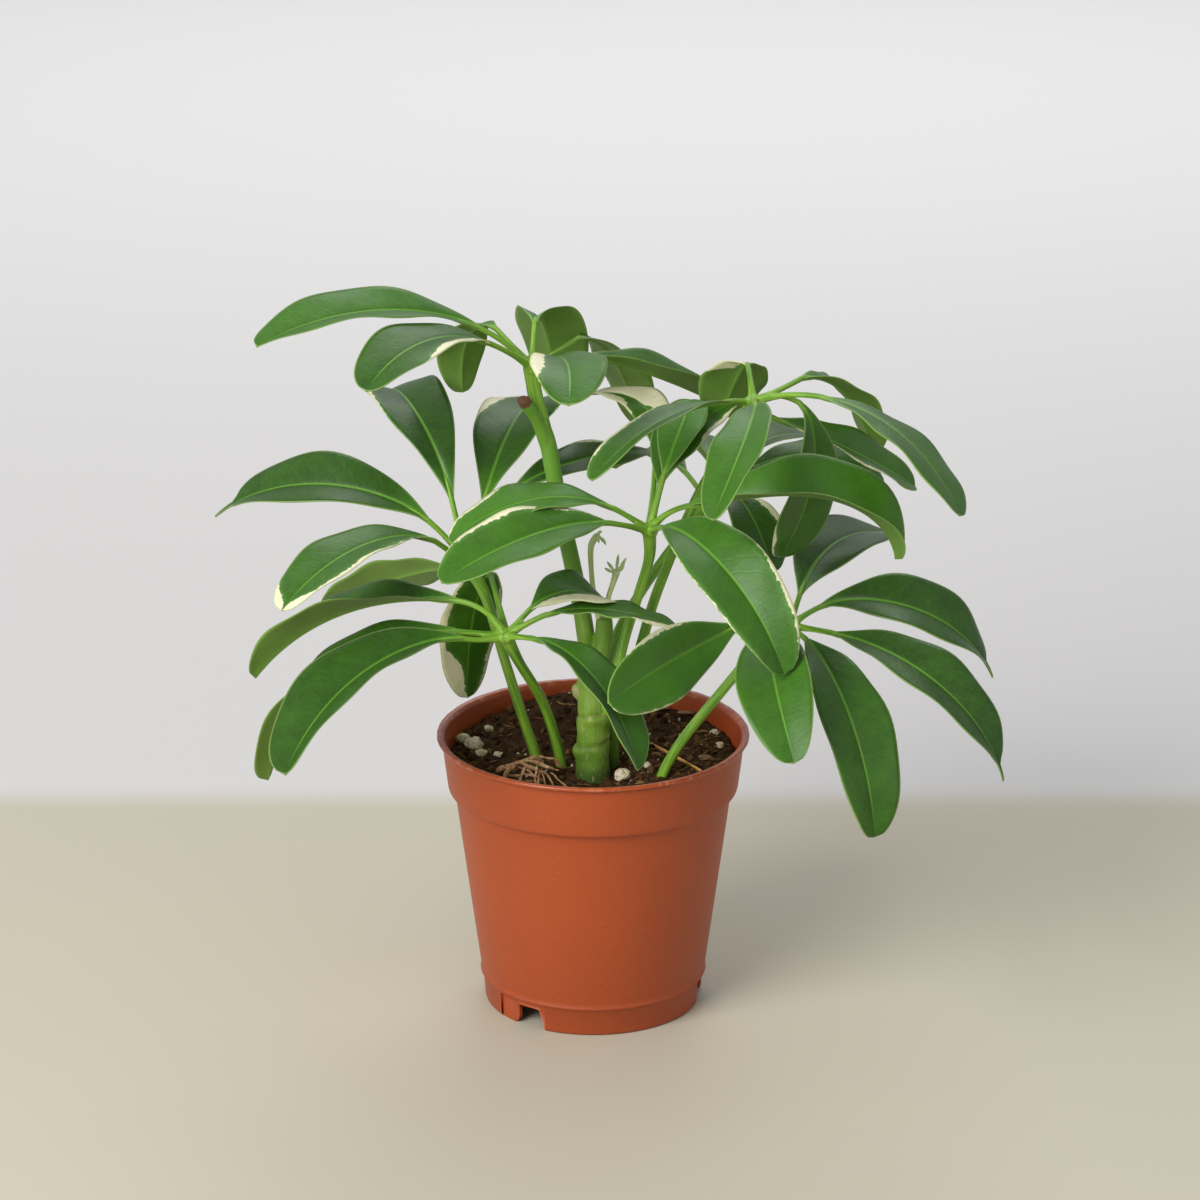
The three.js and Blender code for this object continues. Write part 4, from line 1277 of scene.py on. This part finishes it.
# %% Blade finish
DEEP_GREEN = (0.022, 0.062, 0.008)
FRESH_GREEN = (0.066, 0.215, 0.012)
UNDER_GREEN = (0.135, 0.255, 0.042)
RIB_GREEN = (0.14, 0.36, 0.03)
CREAM_COLOUR = (0.78, 0.74, 0.50)
MARGIN_COLOUR = (0.34, 0.50, 0.14)


def blade_finish():
    finish = Finish("leaf_blade", specular_ior_level=0.26, coat_roughness=0.3)
    along, across = finish.field("along"), abs(finish.field("across"))
    margin, rib, tone = finish.field("margin"), finish.field("rib"), finish.field("tone")
    under = finish.field("underside").rises(0.4, 0.6)
    clouds, mottle = finish.grain(8, 3), finish.grain(0.9, 4, roughness=0.65)
    fibres = finish.grain(1.1, 3, at=finish.streak_place(), roughness=0.6)
    slant = along * 13 - across * 1.7 + (clouds - 0.5) * 0.7
    vein = abs(slant.math("FRACT") - 0.5).rises(0.4, 0.5) * across.rises(0.98, 0.6)
    rib_line = (rib / (1.0 - along * 0.72)).rises(0.95, 0.35) * along.rises(1.0, 0.8)
    share = tone * 0.7 + clouds * 0.5 - 0.15 + (mottle - 0.5) * 0.35 + (fibres - 0.5) * 0.35
    share = share.math("MINIMUM", 1).math("MAXIMUM", 0)
    upper = finish.mix(share, DEEP_GREEN, FRESH_GREEN)
    upper = finish.mix(vein * 0.04, upper, RIB_GREEN)
    upper = finish.mix(along.rises(0.2, 0.0) * 0.55, upper, (0.08, 0.26, 0.02))
    upper = finish.mix(rib_line * 0.62, upper, RIB_GREEN)
    lower = finish.mix(clouds * 0.6 + mottle * 0.4, shade(UNDER_GREEN, 0.8), shade(UNDER_GREEN, 1.2))
    lower = finish.mix(vein * 0.1, lower, (0.06, 0.16, 0.02))
    lower = finish.mix((rib / (1.15 - along * 0.8)).rises(1.1, 0.5) * 0.8, lower, (0.17, 0.36, 0.05))
    colour = finish.mix(under, upper, lower)
    ragged = finish.field("cream") + (finish.grain(2.2, 4, roughness=0.65) - 0.5) * 3.0
    colour = finish.mix(ragged.rises(-2.2, -0.3) * 0.35, colour, (0.11, 0.27, 0.06))
    cream = ragged.rises(-0.2, 0.2)
    cream_tint = finish.mix(finish.grain(2.5, 4).rises(0.5, 0.75) * 0.35, CREAM_COLOUR, (0.42, 0.52, 0.2))
    colour = finish.mix(cream, colour, cream_tint)
    line = (margin + (mottle - 0.5) * 0.35).rises(0.62, 0.28)
    colour = finish.mix(line * (0.44 - under * 0.2), colour, MARGIN_COLOUR)
    scorch = line * finish.grain(4, 2).rises(0.66, 0.72)
    colour = finish.mix(scorch * 0.6, colour, (0.22, 0.13, 0.05))
    rough = 0.30 + mottle * 0.16 + under * 0.2 + cream * 0.06
    relief = mottle * 0.3 + fibres * 0.4 + clouds * 0.6 - vein * 0.1 * (1 - under) + vein * 0.12 * under
    return finish.show(colour, rough, 0.04 - under * 0.04, relief, 0.24)


# %% Stem finish
def stem_finish(name="leaf_stem", dark=(0.055, 0.19, 0.010), light=(0.27, 0.49, 0.045)):
    finish = Finish(name, specular_ior_level=0.35, coat_roughness=0.3)
    streaks = finish.grain(0.55, 3, at=finish.streak_place())
    broad = finish.grain(2.4, 2, at=finish.streak_place())
    near_hub = finish.field("hub").rises(7, 2.5)
    colour = finish.mix(streaks.rises(0.32, 0.68) * 0.6 + broad.rises(0.3, 0.7) * 0.4, dark, light)
    colour = finish.mix(near_hub * 0.4, colour, light)
    scars = near_hub * finish.grain(1.2, 3).rises(0.64, 0.7)
    colour = finish.mix(scars * 0.6, colour, (0.16, 0.10, 0.035))
    return finish.show(colour, 0.36 + streaks * 0.14, 0.08, streaks, 0.3)


# %% [markdown]
# ### Grow a compound leaf
# The stems and all the blades of one leaf become one piece, which stands for one node of the solids. The
# leaf's own seed decides how each margin waves and how much each leaflet's tone strays.

# %% Join stems and blades
def grow_leaf(name, plan, finishes, seed):
    dice = random.Random(seed)
    leaflets = [dict(zip(LEAFLET_WORDS, values)) for values in plan["leaflets"]]
    radii = plan.get("radii", PETIOLE_RADII)
    petiole = [plan["root"], *plan["petiole"]] if "root" in plan else plan["petiole"]
    skin, streak, hub_distance = leaf_stems(petiole, radii, leaflets)
    shapes, fields, ways = [skin], [], [streak]
    stem_points = len(skin[0])
    for number, leaflet in enumerate(leaflets, 1):
        leaflet["drip"] = DRIP_TIPS.get((name, number), 0)
        base = stalk_way(leaflet, plan["petiole"][-1])[-1]
        patches = CREAM.get((name, number), [])
        tone = LEAF_TONES[name] + FRESH_LEAFLETS.get((name, number), 0)
        turned_over = (name, number) in TURNED_OVER
        shape, numbers, way = blade_shape(leaflet, base, patches, tone, turned_over, dice)
        shapes.append(shape)
        fields.append(numbers)
        ways.append(way)
    points, faces = gather(shapes)
    whole = {label: np.concatenate([np.zeros(stem_points), *(numbers[label] for numbers in fields)])
             for label in fields[0]}
    whole["hub"] = np.concatenate([hub_distance, np.full(len(points) - stem_points, HUB_BEYOND)])
    finish_of_face = [0] * len(skin[1]) + [1] * (len(faces) - len(skin[1]))
    make_piece(name + "_fine", (points, faces), finishes, [name], finish_of_face, whole,
               np.vstack(ways))


leaf_finishes = [stem_finish(), blade_finish()]
for number, (name, plan) in enumerate(LEAVES.items()):
    grow_leaf(name, plan, leaf_finishes, plan.get("seed", FIRST_SEED + number))

# %% [markdown]
# ## Young shoots
# Two leaves that have not opened yet stand beside the trunk. Their leaflets are still small pale
# fingers, folded along the midrib.

# %% Young shoots: a petiole, and aim, rise, droop and length of each finger
YOUNG_RADII = [1.15, 0.9, 0.85, 0.85, 0.95, 1.2]
YOUNG_HUB_RADII = (1.2, 1.2, 1.1)
FINGER_RADII = [0.6, 0.42, 0.5, 0.62, 0.5, 0.2]
YOUNG_SQUARE = 0.2
YOUNG_LEAVES = {
    "young_leaf_left": {
        "petiole": [(2.4, -13, 134), (0.8, -12.5, 141), (-0.6, -12, 153), (-0.4, -12, 161),
                    (1.2, -12, 163.5)],
        "fingers": [(330, 0, 80, 4.5), (20, -20, 60, 4), (60, 40, 60, 3.5), (290, 0, 90, 3)],
    },
    "young_leaf_right": {
        "petiole": [(4.6, -12.5, 134), (5, -12.5, 138), (5, -12, 143), (6.2, -12, 147), (7.4, -12, 151)],
        "fingers": [(190, 55, 0, 5.2), (170, 15, -20, 4.2), (60, 80, 10, 6.2), (350, 55, -10, 6.5),
                    (320, 35, -30, 5.2)],
    },
}


def young_leaf(name, plan, finish):
    hub = plan["petiole"][-1]
    ways = [smooth_curve(plan["petiole"], 30)]
    shapes = [tube(ways[0], YOUNG_RADII, sides=14), lump(hub, YOUNG_HUB_RADII, detail=3)]
    for aim, rise, droop, length in plan["fingers"]:
        ways.append(climbing_way(hub, aim, rise - droop * np.linspace(0, 0.9, 10), length))
        shapes.append(tube(ways[-1], FINGER_RADII, flat=0.7))
    skin = fuse(shapes, YOUNG_SQUARE, relax=2)
    streak, hub_distance = streak_places(skin[0], ways, hub)
    make_piece(name + "_fine", skin, [finish], [name], None, {"hub": hub_distance}, streak)


shoot_finish = stem_finish("young_stem", (0.45, 0.60, 0.20), (0.72, 0.80, 0.42))
for name, plan in YOUNG_LEAVES.items():
    young_leaf(name, plan, shoot_finish)

# %% [markdown]
# ## Floor and light
# The plant stands on a plain pale floor. Near the pot it is beige. Some way behind the pot it changes
# softly to a pale grey, and painted light brightens the grey with distance, so that it looks like a lit
# wall. The light is soft and comes from the upper left, as from one large window, with a weak fill from
# the right, a light from behind and a pale surrounding that the waxy leaves mirror.

# %% Floor
FLOOR_SIDE = 6000
FLOOR_CHANGE = (160, 188)  # how far behind the axis the beige turns grey
# Painted light: the distances behind the axis over which the far grey brightens.
FLOOR_PAINTED_LIGHT = (150, 1700)


def floor_finish():
    finish = Finish("floor", specular_ior_level=0.3)
    cloud = finish.grain(400, 2)
    near = finish.mix(cloud, (0.50, 0.465, 0.365), (0.53, 0.495, 0.395))
    depth = finish.part(finish.place(), "Y")
    # Painted light: the far grey is darker near the beige and brightens with distance.
    far = finish.mix(depth.rises(*FLOOR_PAINTED_LIGHT), (0.62, 0.608, 0.60), (1.0, 0.995, 0.98))
    return finish.show(finish.mix(depth.rises(*FLOOR_CHANGE), near, far), 0.6)


floor_mesh = bpy.data.meshes.new("floor")
reach = FLOOR_SIDE * MM / 2
corners = [(-reach, -reach, 0), (reach, -reach, 0), (reach, reach, 0), (-reach, reach, 0)]
floor_mesh.from_pydata(corners, [], [(0, 1, 2, 3)])
floor_mesh.materials.append(floor_finish().material)
floor = add_object("floor", floor_mesh)
print("floor side, mm:", FLOOR_SIDE)

# %% Lights
LIGHT_SIZE = 1.2
LIGHT_AIM = Vector((0, 0, 0.13))


def soft_light(name, place, power, colour=(1, 1, 1)):
    """A round lamp, placed in metres and turned to the middle of the plant."""
    lamp = bpy.data.lights.new(name, "AREA")
    lamp.shape = "DISK"
    lamp.size = LIGHT_SIZE
    lamp.energy = power
    lamp.color = colour
    light = add_object(name, lamp)
    light.location = place
    light.rotation_euler = (LIGHT_AIM - Vector(place)).to_track_quat("-Z", "Y").to_euler()
    print(f"light {name}: {power} W")


soft_light("window", (-1.0, -1.15, 1.05), 34, (1, 0.985, 0.96))
soft_light("fill", (1.3, -1.2, 0.9), 3)
soft_light("back", (0.2, 1.3, 1.5), 9)

# %% The pale surrounding
world = bpy.data.worlds.new("studio")
bpy.context.scene.world = world
world.use_nodes = True
surrounding = world.node_tree.nodes["Background"].inputs
surrounding["Color"].default_value = (0.92, 0.93, 0.96, 1)
surrounding["Strength"].default_value = 0.52
bpy.context.scene.view_settings.view_transform = "Standard"
